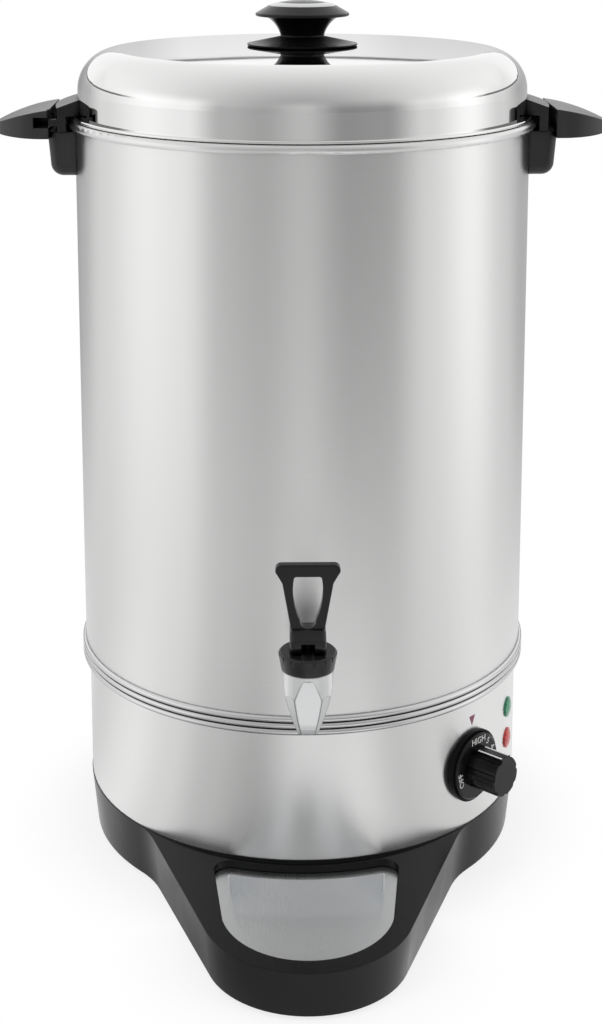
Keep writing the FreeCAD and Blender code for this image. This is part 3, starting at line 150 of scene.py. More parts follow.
brushing = {"lineDetail": 3.0, "lineRough": 0.6, "cloudScale": 9.0, "cloudDetail": 2.0,
            "cloudShare": 0.35, "contrast": (0.3, 0.7)}


# fine lines left by brushing: stretched noise, lines lie across the axis whose scale is highest
def makeBrushLines(look):
    group = newGroup("brushLines",
                     {"Scale": ("Vector", (6.0, 6.0, 1500.0)), "Low Rough": ("Float", 0.25),
                      "High Rough": ("Float", 0.38)},
                     {"Roughness": "Float", "Height": "Float"})
    start = addNode(group, "NodeGroupInput")
    place = addNode(group, "ShaderNodeTexCoord").outputs["Object"]
    stretch = addNode(group, "ShaderNodeVectorMath", {0: place, 1: start.outputs["Scale"]},
                      operation="MULTIPLY")
    lines = addNode(group, "ShaderNodeTexNoise",
                    {"Vector": stretch.outputs["Vector"], "Scale": 1.0,
                     "Detail": look["lineDetail"], "Roughness": look["lineRough"]})
    cloud = addNode(group, "ShaderNodeTexNoise", {"Vector": place, "Scale": look["cloudScale"],
                                                  "Detail": look["cloudDetail"]})
    blend = addMix(group, "FLOAT", look["cloudShare"], lines.outputs["Fac"], cloud.outputs["Fac"])
    rough = addSpan(group, blend, look["contrast"],
                    (start.outputs["Low Rough"], start.outputs["High Rough"]))
    addNode(group, "NodeGroupOutput", {"Roughness": rough, "Height": lines.outputs["Fac"]})
    return group


moulding = {"cloudScale": 22.0, "cloudDetail": 4.0, "grainDetail": 2.0, "contrast": (0.35, 0.65),
            "wornHighlightCorners": (0.51, 0.62), "wornHighlightShare": 0.5}


# moulded plastic: slightly uneven colour and gloss, fine grain, and paler patches on the edges,
# partly rubbed wear and partly a painted highlight
def makeMouldedSkin(look):
    group = newGroup("mouldedSkin",
                     {"Color": ("Color", (0.02, 0.02, 0.02, 1.0)),
                      "Worn And Highlight Color": ("Color", (0.06, 0.06, 0.06, 1.0)),
                      "Grain": ("Float", 900.0), "Low Rough": ("Float", 0.25),
                      "High Rough": ("Float", 0.4)},
                     {"Color": "Color", "Roughness": "Float", "Height": "Float"})
    start = addNode(group, "NodeGroupInput")
    place = addNode(group, "ShaderNodeTexCoord").outputs["Object"]
    cloud = addNode(group, "ShaderNodeTexNoise", {"Vector": place, "Scale": look["cloudScale"],
                                                  "Detail": look["cloudDetail"]})
    grain = addNode(group, "ShaderNodeTexNoise",
                    {"Vector": place, "Scale": start.outputs["Grain"],
                     "Detail": look["grainDetail"]})
    # paler patches on corners: rubbed wear, and partly a painted highlight
    corners = addNode(group, "ShaderNodeNewGeometry").outputs["Pointiness"]
    wornAndHighlight = addSpan(group, corners, look["wornHighlightCorners"], (0.0, look["wornHighlightShare"]))
    patchy = addMath(group, "MULTIPLY", wornAndHighlight, cloud.outputs["Fac"])
    color = addMix(group, "RGBA", patchy, start.outputs["Color"], start.outputs["Worn And Highlight Color"])
    rough = addSpan(group, cloud.outputs["Fac"], look["contrast"],
                    (start.outputs["Low Rough"], start.outputs["High Rough"]))
    addNode(group, "NodeGroupOutput", {"Color": color, "Roughness": rough,
                                       "Height": grain.outputs["Fac"]})
    return group


polishing = {"cloudDetail": 5.0, "cloudRough": 0.65, "waveScale": 5.0, "waveDetail": 1.0,
             "contrast": (0.35, 0.7)}


# smears and faint cloudiness on polished metal
def makeHandledPolish(look):
    group = newGroup("handledPolish",
                     {"Low Rough": ("Float", 0.06), "High Rough": ("Float", 0.14),
                      "Cloud Scale": ("Float", 14.0)},
                     {"Roughness": "Float", "Height": "Float"})
    start = addNode(group, "NodeGroupInput")
    place = addNode(group, "ShaderNodeTexCoord").outputs["Object"]
    cloud = addNode(group, "ShaderNodeTexNoise",
                    {"Vector": place, "Scale": start.outputs["Cloud Scale"],
                     "Detail": look["cloudDetail"], "Roughness": look["cloudRough"]})
    wave = addNode(group, "ShaderNodeTexNoise", {"Vector": place, "Scale": look["waveScale"],
                                                 "Detail": look["waveDetail"]})
    rough = addSpan(group, cloud.outputs["Fac"], look["contrast"],
                    (start.outputs["Low Rough"], start.outputs["High Rough"]))
    addNode(group, "NodeGroupOutput", {"Roughness": rough, "Height": wave.outputs["Fac"]})
    return group


gapShade = makeGapShade(gapSamples)
brushLines = makeBrushLines(brushing)
mouldedSkin = makeMouldedSkin(moulding)
handledPolish = makeHandledPolish(polishing)
print("shared effects ready")


veilReach = (0.003, 0.03)  # length of a ray, in metres, over which a veil sets in


# ends a material: a share of the mirror rays from afar goes through it, which makes its image
# in the steel fainter
def finishMaterial(tree, shader, veil=0.0):
    surface = shader.outputs["BSDF"]
    if veil:
        path = addNode(tree, "ShaderNodeLightPath")
        reach = addSpan(tree, path.outputs["Ray Length"], veilReach, (0.0, veil), smooth=True)
        share = addMath(tree, "MULTIPLY", path.outputs["Is Glossy Ray"], reach)
        through = addNode(tree, "ShaderNodeBsdfTransparent")
        surface = addMixShader(tree, share, surface, through.outputs["BSDF"])
    addNode(tree, "ShaderNodeOutputMaterial", {"Surface": surface})


# all colours are linear; "rough" is the lowest and the highest roughness, "lines" is how close the
# brush lines lie along X, Y and Z, and what a finish doesn't give comes from its plain look
plainBrushed = {"anisotropy": 0.0, "glossTurn": 0.25, "bump": 0.04, "bumpDepth": 0.0002,
                "groove": 0.0, "veil": 0.0}
brushedLooks = {
    "tankSteel": {"color": (0.80, 0.80, 0.795), "rough": (0.27, 0.32),
                  "lines": (5.0, 5.0, 1700.0), "anisotropy": 0.8, "bump": 0.02},
    "skirtSteel": {"color": (0.79, 0.79, 0.785), "rough": (0.235, 0.265),
                   "lines": (5.0, 5.0, 1500.0), "anisotropy": 0.7, "bump": 0.008},
    "bandSteel": {"color": (0.72, 0.72, 0.72), "rough": (0.07, 0.11), "lines": (6.0, 6.0, 900.0),
                  # the band's groove settings give painted shade in bead hollows and on undersides
                  "bump": 0.015, "groove": 0.004, "grooveSpan": (0.35, 0.8),
                  "grooveShadeColor": (0.1, 0.1, 0.1), "undersideShadeSpan": (-0.6, 0.0), "undersideShadeShare": 0.25},
    "traySteel": {"color": (0.82, 0.83, 0.84), "rough": (0.26, 0.32),
                  "lines": (1300.0, 7.0, 7.0), "bump": 0.015},
    "zincSteel": {"color": (0.55, 0.56, 0.57), "rough": (0.28, 0.42),
                  "lines": (500.0, 500.0, 500.0), "veil": 1.0},
    "castAluminium": {"color": (0.5, 0.5, 0.51), "rough": (0.42, 0.6),
                      "lines": (260.0, 260.0, 260.0), "bump": 0.2},
    "elementSteel": {"color": (0.22, 0.2, 0.19), "rough": (0.35, 0.55),
                     "lines": (300.0, 300.0, 300.0)},
    "pinBrass": {"color": (0.62, 0.45, 0.2), "rough": (0.2, 0.32), "lines": (900.0, 900.0, 60.0)},
    "bulbCopper": {"color": (0.55, 0.28, 0.16), "rough": (0.25, 0.4),
                   "lines": (60.0, 900.0, 900.0)},
}


# brushed or cast metal; a groove puts painted shade into the hollows between beads and onto the
# beads' undersides
def brushedMetal(name, given):
    look = {**plainBrushed, **given}
    material = makeMaterial(name)
    tree = material.node_tree
    lines = placeGroup(tree, brushLines, {"Scale": look["lines"], "Low Rough": look["rough"][0],
                                          "High Rough": look["rough"][1]})
    bump = addNode(tree, "ShaderNodeBump", {"Strength": look["bump"],
                                            "Distance": look["bumpDepth"],
                                            "Height": lines.outputs["Height"]})
    shader = addNode(tree, "ShaderNodeBsdfPrincipled",
                     {"Base Color": opaque(look["color"]), "Metallic": 1.0,
                      "Roughness": lines.outputs["Roughness"], "Normal": bump.outputs["Normal"],
                      "Anisotropic": look["anisotropy"],
                      "Anisotropic Rotation": look["glossTurn"]})
    if look["anisotropy"]:
        tangent = addNode(tree, "ShaderNodeTangent", direction_type="RADIAL", axis="Z")
        tree.links.new(tangent.outputs["Tangent"], shader.inputs["Tangent"])
    # painted shade: darker in the bead hollows, and more so on surfaces facing down
    if look["groove"]:
        depth = placeGroup(tree, gapShade, {"Distance": look["groove"],
                                            "Closed": look["grooveSpan"][0],
                                            "Open": look["grooveSpan"][1]})
        facing = addNode(tree, "ShaderNodeNewGeometry")
        upward = addNode(tree, "ShaderNodeSeparateXYZ", {"Vector": facing.outputs["Normal"]})
        undersideShade = addSpan(tree, upward.outputs["Z"], look["undersideShadeSpan"], (look["undersideShadeShare"], 1.0))
        paintedShade = addMath(tree, "MULTIPLY", depth.outputs["Open"], undersideShade)
        color = addMix(tree, "RGBA", paintedShade, opaque(look["grooveShadeColor"]), opaque(look["color"]))
        tree.links.new(color, shader.inputs["Base Color"])
    finishMaterial(tree, shader, look["veil"])
    return material


plainPolished = {"cloud": 14.0, "bump": 0.02, "bumpDepth": 0.001, "edge": 0.0, "edgeSamples": 6}
polishedLooks = {
    "lidSteel": {"color": (0.84, 0.84, 0.835), "rough": (0.02, 0.035), "bump": 0.01},
    # the chrome's darker edges are painted shade along its corners
    "brightChrome": {"color": (0.7, 0.705, 0.71), "rough": (0.04, 0.08), "cloud": 40.0,
                     "edge": 0.0013, "edgeFrom": 0.97, "edgeShadeColor": (0.14, 0.14, 0.15)},
    "ringSteel": {"color": (0.62, 0.625, 0.63), "rough": (0.12, 0.18), "cloud": 60.0},
}


# polished metal; an edge rounds its corners and draws them darker with painted shade
def polishedMetal(name, given):
    look = {**plainPolished, **given}
    material = makeMaterial(name)
    tree = material.node_tree
    polish = placeGroup(tree, handledPolish, {"Low Rough": look["rough"][0],
                                              "High Rough": look["rough"][1],
                                              "Cloud Scale": look["cloud"]})
    bump = addNode(tree, "ShaderNodeBump", {"Strength": look["bump"],
                                            "Distance": look["bumpDepth"],
                                            "Height": polish.outputs["Height"]})
    shader = addNode(tree, "ShaderNodeBsdfPrincipled",
                     {"Base Color": opaque(look["color"]), "Metallic": 1.0,
                      "Roughness": polish.outputs["Roughness"],
                      "Normal": bump.outputs["Normal"]})
    if look["edge"]:
        # painted shade: corners darker where the rounded normal turns from the flat one
        flat = addNode(tree, "ShaderNodeNewGeometry").outputs["Normal"]
        bevel = addNode(tree, "ShaderNodeBevel", {"Radius": look["edge"]},
                        samples=look["edgeSamples"])
        rounded = bevel.outputs["Normal"]
        same = addNode(tree, "ShaderNodeVectorMath", {0: flat, 1: rounded},
                       operation="DOT_PRODUCT")
        turn = addSpan(tree, same.outputs["Value"], (look["edgeFrom"], 1.0))
        color = addMix(tree, "RGBA", turn, opaque(look["edgeShadeColor"]), opaque(look["color"]))
        tree.links.new(rounded, bump.inputs["Normal"])
        tree.links.new(color, shader.inputs["Base Color"])
    finishMaterial(tree, shader)
    return material


# a gap's colour and roughness are painted shade where surfaces come close
plainMoulded = {"ior": 1.5, "bump": 0.1, "bumpDepth": 0.0002, "edge": 0.0006, "edgeSamples": 4,
                "gap": 0.0, "gapFrom": 0.3, "gapTo": 0.7, "gapShadeColor": (0.0005, 0.0005, 0.0005),
                "gapShadeRough": 0.6, "veil": 0.0}
# the worn colour shows on corners: rubbed wear, and on black plastic partly a painted highlight
mouldedLooks = {
    "baseBlack": {"color": (0.003, 0.003, 0.0033), "wornAndHighlight": (0.012, 0.012, 0.013), "grain": 700.0,
                  "rough": (0.2, 0.3), "bump": 0.04, "edge": 0.0012, "ior": 1.32, "veil": 0.95},
    "coverBlack": {"color": (0.008, 0.008, 0.009), "wornAndHighlight": (0.02, 0.02, 0.02), "grain": 1400.0,
                   "rough": (0.5, 0.65), "bump": 0.3, "veil": 0.95},
    "footRubber": {"color": (0.01, 0.01, 0.01), "wornAndHighlight": (0.03, 0.03, 0.03), "grain": 1100.0,
                   "rough": (0.65, 0.85), "bump": 0.3, "veil": 0.95},
    "handleBlack": {"color": (0.018, 0.018, 0.0185), "wornAndHighlight": (0.04, 0.04, 0.04), "grain": 900.0,
                    "rough": (0.2, 0.28), "bump": 0.03, "edge": 0.0014, "ior": 1.42,
                    "gap": 0.006},
    "lugBlack": {"color": (0.006, 0.006, 0.0063), "wornAndHighlight": (0.03, 0.03, 0.03), "grain": 900.0,
                 "rough": (0.2, 0.28), "bump": 0.03, "edge": 0.001, "ior": 1.4, "gap": 0.008},
    "knobBlack": {"color": (0.0025, 0.0025, 0.0028), "wornAndHighlight": (0.01, 0.01, 0.01), "grain": 900.0,
                  "rough": (0.16, 0.24), "bump": 0.03, "ior": 1.36, "gap": 0.006},
    "guardBlack": {"color": (0.0025, 0.0025, 0.0028), "wornAndHighlight": (0.01, 0.01, 0.01), "grain": 900.0,
                   "rough": (0.16, 0.24), "bump": 0.03, "ior": 1.36, "gap": 0.02, "gapTo": 0.9},
    "tapBlack": {"color": (0.003, 0.003, 0.003), "wornAndHighlight": (0.012, 0.012, 0.012), "grain": 1200.0,
                 "rough": (0.16, 0.24), "bump": 0.05, "edge": 0.001, "ior": 1.4, "gap": 0.003,
                 "veil": 0.97},
    "capBlack": {"color": (0.005, 0.005, 0.005), "wornAndHighlight": (0.03, 0.03, 0.03), "grain": 1200.0,
                 "rough": (0.14, 0.2), "bump": 0.05, "edge": 0.0004, "ior": 1.42, "gap": 0.0016,
                 "gapFrom": 0.55, "gapTo": 0.95, "veil": 0.97},
    "dialBlack": {"color": (0.004, 0.004, 0.0043), "wornAndHighlight": (0.014, 0.014, 0.014),
                  "grain": 1500.0, "rough": (0.2, 0.3), "bump": 0.06, "ior": 1.33, "gap": 0.003,
                  "veil": 0.85},
    "bezelBlack": {"color": (0.003, 0.003, 0.003), "wornAndHighlight": (0.01, 0.01, 0.01), "grain": 1500.0,
                   "rough": (0.3, 0.4), "bump": 0.06, "ior": 1.18, "veil": 0.85},
    "electricBlack": {"color": (0.014, 0.014, 0.014), "wornAndHighlight": (0.04, 0.04, 0.04),
                      "grain": 1300.0, "rough": (0.45, 0.6), "bump": 0.25},
    "electricWhite": {"color": (0.72, 0.7, 0.64), "wornAndHighlight": (0.8, 0.79, 0.75), "grain": 900.0,
                      "rough": (0.4, 0.55)},
    "silicone": {"color": (0.6, 0.57, 0.52), "wornAndHighlight": (0.7, 0.68, 0.65), "grain": 1000.0,
                 "rough": (0.5, 0.65)},
    "printAndHighlightWhite": {"color": (0.72, 0.72, 0.71), "wornAndHighlight": (0.6, 0.6, 0.6), "grain": 2500.0,
                   "rough": (0.5, 0.65), "edge": 0.00005},
    "printRed": {"color": (0.2, 0.045, 0.1), "wornAndHighlight": (0.25, 0.08, 0.13), "grain": 2500.0,
                 "rough": (0.45, 0.6), "edge": 0.00005},
}


# moulded plastic, rubber and print; painted shade in a gap: there it turns to rough black metal,
# which mirrors less
def mouldedPlastic(name, given):
    look = {**plainMoulded, **given}
    material = makeMaterial(name)
    tree = material.node_tree
    skin = placeGroup(tree, mouldedSkin, {"Color": opaque(look["color"]),
                                          "Worn And Highlight Color": opaque(look["wornAndHighlight"]),
                                          "Grain": look["grain"], "Low Rough": look["rough"][0],
                                          "High Rough": look["rough"][1]})
    bevel = addNode(tree, "ShaderNodeBevel", {"Radius": look["edge"]},
                    samples=look["edgeSamples"])
    bump = addNode(tree, "ShaderNodeBump", {"Strength": look["bump"],
                                            "Distance": look["bumpDepth"],
                                            "Height": skin.outputs["Height"],
                                            "Normal": bevel.outputs["Normal"]})
    shader = addNode(tree, "ShaderNodeBsdfPrincipled",
                     {"IOR": look["ior"], "Base Color": skin.outputs["Color"],
                      "Roughness": skin.outputs["Roughness"], "Normal": bump.outputs["Normal"]})
    # painted shade: darker, rougher black metal where surfaces come close
    if look["gap"]:
        depth = placeGroup(tree, gapShade, {"Distance": look["gap"], "Closed": look["gapFrom"],
                                            "Open": look["gapTo"]})
        gapShadeShare = addMath(tree, "SUBTRACT", 1.0, depth.outputs["Open"])
        rough = addMath(tree, "MULTIPLY_ADD", gapShadeShare, look["gapShadeRough"], skin.outputs["Roughness"])
        color = addMix(tree, "RGBA", depth.outputs["Open"], opaque(look["gapShadeColor"]),
                       skin.outputs["Color"])
        tree.links.new(gapShadeShare, shader.inputs["Metallic"])
        tree.links.new(rough, shader.inputs["Roughness"])
        tree.links.new(color, shader.inputs["Base Color"])
    finishMaterial(tree, shader, look["veil"])
    return material


plainLens = {"rough": 0.12, "ior": 1.49, "coat": 0.6, "coatRough": 0.05, "depth": 0.15,
             "depthScale": 0.002, "facets": 420.0, "bump": 0.35, "bumpDepth": 0.0004}
lensLooks = {
    "lensGreen": {"deep": (0.005, 0.09, 0.045), "bright": (0.03, 0.36, 0.18)},
    "lensRed": {"deep": (0.25, 0.006, 0.008), "bright": (0.75, 0.06, 0.05)},
}


# the pilot lamps' lenses: clear coloured plastic with small facets inside
def lampLens(name, given):
    look = {**plainLens, **given}
    material = makeMaterial(name)
    tree = material.node_tree
    place = addNode(tree, "ShaderNodeTexCoord").outputs["Object"]
    facets = addNode(tree, "ShaderNodeTexVoronoi", {"Vector": place, "Scale": look["facets"]})
    color = addMix(tree, "RGBA", facets.outputs["Distance"], opaque(look["deep"]),
                   opaque(look["bright"]))
    bump = addNode(tree, "ShaderNodeBump", {"Strength": look["bump"],
                                            "Distance": look["bumpDepth"],
                                            "Height": facets.outputs["Distance"]})
    shader = addNode(tree, "ShaderNodeBsdfPrincipled",
                     {"Base Color": color, "Roughness": look["rough"], "IOR": look["ior"],
                      "Normal": bump.outputs["Normal"], "Coat Weight": look["coat"],
                      "Coat Roughness": look["coatRough"], "Subsurface Weight": look["depth"],
                      "Subsurface Scale": look["depthScale"]})
    finishMaterial(tree, shader)
    return material


finishes = {}
for makeFinish, looks in ((brushedMetal, brushedLooks), (polishedMetal, polishedLooks),
                          (mouldedPlastic, mouldedLooks), (lampLens, lensLooks)):
    for name, look in looks.items():
        finishes[name] = makeFinish(name, look)
print("finishes made,", len(finishes))

finishOfSlot = {
    "housing_black": "baseBlack",
    "cover_black": "coverBlack",
    "rubber_black": "footRubber",
    "zinc_steel": "zincSteel",
    "skirt_steel": "skirtSteel",
    "band_steel": "bandSteel",
    "tank_steel": "tankSteel",
    "lid_steel": "lidSteel",
    "tray_steel": "traySteel",
    "cast_aluminium": "castAluminium",
    "element_steel": "elementSteel",
    "brass_pins": "pinBrass",
    "bulb_copper": "bulbCopper",
    "electric_black": "electricBlack",
    "electric_white": "electricWhite",
    "lamp_green": "lensGreen",
    "lamp_red": "lensRed",
    "chrome_bright": "brightChrome",
    "silicone": "silicone",
    "tap_black": "tapBlack",
    "dial_black": "dialBlack",
    "handle_black": "handleBlack",
}

# nodes whose finish differs from the rest of their slot
finishOfNode = {
    "lid_knob": "knobBlack",
    "knob_guard": "guardBlack",
    "knob_ring": "ringSteel",
    "tap_bonnet": "capBlack",
    "lid_lug_left": "lugBlack",
    "lid_lug_right": "lugBlack",
    "dial_bezel": "bezelBlack",
}

for part in frame["record"]["subparts"]:
    piece = nodes[part["node"]]
    finish = finishOfNode.get(part["node"], finishOfSlot[part["material_slot"]])
    piece.data.materials.clear()
    piece.data.materials.append(finishes[finish])
print("finishes on the nodes")


# a frame on the wall of the skirt: x to the right, y up, z outward
def wallFrame(azimuth, height):
    angle = math.radians(azimuth)
    c, s = math.cos(angle), math.sin(angle)
    return Matrix(((c, 0, s, 0), (s, 0, -c, tankAxisY), (0, 1, 0, height), (0, 0, 0, 1)))


def textPiece(words, size, thickness, curveSteps):
    curve = bpy.data.curves.new("words", "FONT")
    curve.body = words
    curve.size = size
    curve.align_x = "CENTER"
    curve.align_y = "CENTER"
    curve.extrude = thickness
    curve.resolution_u = curveSteps
    holder = bpy.data.objects.new("words", curve)
    scene.collection.objects.link(holder)
    bpy.context.view_layer.update()
    depsgraph = bpy.context.evaluated_depsgraph_get()
    mesh = bpy.data.meshes.new_from_object(holder.evaluated_get(depsgraph))
    bpy.data.objects.remove(holder)
    return mesh


def addPiece(name, mesh, finish, body):
    piece = bpy.data.objects.new(name, mesh)
    scene.collection.objects.link(piece)
    mesh.materials.clear()
    mesh.materials.append(finishes[finish])
    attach(piece, body)


# printed marks on the dial: degrees clockwise from the top
dialMarks = {
    "azimuth": 47.5,
    "height": 0.077,
    "face": 0.1475,
    "radius": 0.0172,
    "size": 0.006,
    "thickness": 0.00006,
    "curveSteps": 3,
    "marks": {"HIGH": 2, "5": 37, "4": 62, "3": 92, "2": 121, "1": 150, "OFF": 258},
}


def makeDialMarks(dial):
    wall = wallFrame(dial["azimuth"], dial["height"])
    for number, (words, turn) in enumerate(dial["marks"].items(), 1):
        angle = math.radians(turn)
        mesh = textPiece(words, dial["size"], dial["thickness"], dial["curveSteps"])
        local = Matrix.Translation((dial["radius"] * math.sin(angle),
                                    dial["radius"] * math.cos(angle), dial["face"]))
        mesh.transform(wall @ local @ Matrix.Rotation(-angle, 4, "Z"))
        addPiece("dialMark%d" % number, mesh, "printAndHighlightWhite", "dial")


# two white strips along the edges of the grip's pointer ridge, painted highlights, in the wall
# frame
ridgeHighlights = {
    "near": 0.1505,
    "far": 0.1683,
    "top": 0.01302,
    "half": 0.0041,
    "width": 0.0013,
    "thickness": 0.00008,
    "under": 0.0002,
}


# white strips on the ridge's edges: painted highlights
def makeRidgeHighlights(line, dial):
    wall = wallFrame(dial["azimuth"], dial["height"])
    low, high = line["top"] - line["under"], line["top"] + line["thickness"]
    faces = [(0, 1, 3, 2), (4, 6, 7, 5), (0, 4, 5, 1), (2, 3, 7, 6), (1, 5, 7, 3), (0, 2, 6, 4)]
    for number, side in enumerate((-1, 1), 1):
        edge = side * line["half"]
        inner = side * (line["half"] - line["width"])
        verts = [(x, y, z) for z in (line["near"], line["far"])
                 for x in (inner, edge) for y in (low, high)]
        mesh = bpy.data.meshes.new("ridgeHighlight%d" % number)
        mesh.from_pydata(verts, [], faces)
        mesh.transform(wall)
        mesh.update()
        addPiece("ridgeHighlight%d" % number, mesh, "printAndHighlightWhite", "dial")


# printed pointer on the skirt above the dial: a triangle that points down and follows the skirt
skirtPointer = {
    "azimuth": 47.5,
    "height": 0.1065,
    "radius": 0.1425,
    "width": 0.0058,
    "tall": 0.0062,
    "under": 0.0001,
    "lift": 0.00012,
    "steps": 4,
}


def makeSkirtPointer(mark):
    verts, faces = [], []
    half = mark["width"] / 2
    top = mark["tall"] / 2
    columns = [half * step / mark["steps"] for step in range(-mark["steps"], mark["steps"] + 1)]
    for lift in (-mark["under"], mark["lift"]):
        for x in columns:
            out = math.sqrt(mark["radius"] ** 2 - x * x) + lift
            verts += [(x, top, out), (x, mark["tall"] * abs(x) / half - top, out)]
    back = 2 * len(columns)
    for step in range(len(columns) - 1):
        a = 2 * step
        b = back + a
        faces += [(a, a + 2, a + 3, a + 1), (b, b + 1, b + 3, b + 2),
                  (a, b, b + 2, a + 2), (a + 1, a + 3, b + 3, b + 1)]
    mesh = bpy.data.meshes.new("skirtPointer")
    mesh.from_pydata(verts, [], faces)
    mesh.transform(wallFrame(mark["azimuth"], mark["height"]))
    mesh.validate()
    mesh.update()
    addPiece("skirtPointer", mesh, "printRed", "urn")


makeDialMarks(dialMarks)
makeRidgeHighlights(ridgeHighlights, dialMarks)
makeSkirtPointer(skirtPointer)
print("printed marks done")


# the room as shiny surfaces see it: walls by the angle from the front with lamps at both sides,
# a ceiling that darkens towards the front, and a bright backdrop above the table's far edge
room = {
    "levels": [(-180, 0.96), (-177, 0.94), (-175.5, 0.7), (-160, 0.42), (-142, 0.56),
               (-118, 0.98), (-82, 1.34), (-60, 1.2), (-40, 0.58), (-20, 0.47), (0, 0.66),
               (20, 0.32), (40, 0.36), (62, 0.94), (90, 1.42), (116, 0.9), (142, 0.52),
               (160, 0.56), (175.5, 0.8), (177, 0.94), (180, 0.96)],
    "horizon": 0.86,       # what the walls keep of their level at the horizon
    "horizonTo": 14.0,
    "ceilingTilt": 20.0,
    "ceilingLow": 0.352,
    "ceilingHigh": 0.96,
    "ceilingSide": 0.3,
    "ceilingFrom": 0.0,
    "ceilingTo": 30.0,
    "edgeHeight": 7.0,     # the table's far edge, in degrees above the horizon
    "edgeHalf": 0.14,
    "edgeSide": 1.4,
    "edgeLevel": 0.2,
    "edgeFrom": 0.0,
    "edgeTo": 0.3,
    "backdrop": 0.07,
    "backdropTo": 36.0,
    "behindFrom": 0.3,
    "behindTo": 0.85,
}


# brightness of the room in a direction
def makeRoomLight(look):
    group = newGroup("roomLight", {"Direction": ("Vector", (0.0, 0.0, 1.0))}, {"Level": "Float"})
    direction = addNode(group, "NodeGroupInput").outputs["Direction"]
    unit = addNode(group, "ShaderNodeVectorMath", {0: direction}, operation="NORMALIZE")
    split = addNode(group, "ShaderNodeSeparateXYZ", {"Vector": unit.outputs["Vector"]})
    x, y, z = (split.outputs[axis] for axis in "XYZ")
    edgeSine = sine(look["edgeHeight"])
    behind = addSpan(group, y, (look["behindFrom"], look["behindTo"]), smooth=True)
    # walls, a little darker towards the horizon
    low = addSpan(group, z, (0.0, sine(look["horizonTo"])), (look["horizon"], 1.0), smooth=True)
    walls = addMath(group, "MULTIPLY", addTurnRamp(group, direction, look["levels"]), low)
    # ceiling, brighter to both sides, with the backdrop's glow behind
    tilt = math.radians(look["ceilingTilt"])
    slope = addNode(group, "ShaderNodeVectorMath",
                    {0: unit.outputs["Vector"], 1: (0.0, math.cos(tilt), math.sin(tilt))},
                    operation="DOT_PRODUCT")
    ceiling = addSpan(group, slope.outputs["Value"], (-1.0, 1.0),
                      (look["ceilingLow"], look["ceilingHigh"]))
    square = addMath(group, "MULTIPLY", x, x)
    sides = addMath(group, "MULTIPLY_ADD", square, look["ceilingSide"], ceiling)
    glow = addSpan(group, z, (edgeSine, sine(look["backdropTo"])), (look["backdrop"], 0.0),
                   smooth=True)
    above = addMath(group, "ADD", sides, addMath(group, "MULTIPLY", glow, behind))
    # the ceiling's share grows with the height, and is whole above the far edge
    beyond = addMath(group, "MULTIPLY", addMath(group, "GREATER_THAN", z, edgeSine), behind)
    rise = addSpan(group, z, (sine(look["ceilingFrom"]), sine(look["ceilingTo"])), smooth=True)
    level = addMix(group, "FLOAT", addMath(group, "MAXIMUM", rise, beyond), walls, above)
    # the far edge's dark line, wider to both sides
    width = addMath(group, "MULTIPLY_ADD", square, math.radians(look["edgeSide"]),
                    math.radians(look["edgeHalf"]))
    edge = addMath(group, "COMPARE", z, edgeSine, width)
    where = addSpan(group, y, (look["edgeFrom"], look["edgeTo"]), smooth=True)
    line = addMix(group, "FLOAT", addMath(group, "MULTIPLY", edge, where), level,
                  look["edgeLevel"])
    addNode(group, "NodeGroupOutput", {"Level": line})
    return group


roomLight = makeRoomLight(room)

floorLook = {
    "half": 6.0,
    "color": (0.86, 0.86, 0.86),
    "rough": 0.7,
    "glow": 0.8,           # the camera's share of plain white at the base
    "whiteAt": 0.065,      # all white this far from the base
    "mirrored": 0.85,      # shiny surfaces' share of the levels below
    "nearLevels": [(-180, 0.9), (-150, 0.92), (-118, 0.74), (-80, 1.02), (-58, 0.8), (-40, 0.52),
                   (-20, 0.36), (0, 0.92), (20, 0.94), (40, 0.62), (60, 0.72), (90, 0.96),
                   (140, 0.92), (180, 0.9)],
    "middleLevel": 0.74,
    "nearEnd": (0.32, 0.7),
    "farStart": (0.4, 1.5),
    "bodyRadius": 0.143,
    "lobeAt": (0.0, -0.1375, 0.0),
    "lobeRadius": 0.064,
}


# distance from a round outline on the floor
def addDistance(tree, place, middle, radius):
    away = addNode(tree, "ShaderNodeVectorMath", {0: place, 1: middle}, operation="DISTANCE")
    return addMath(tree, "SUBTRACT", away.outputs["Value"], radius)


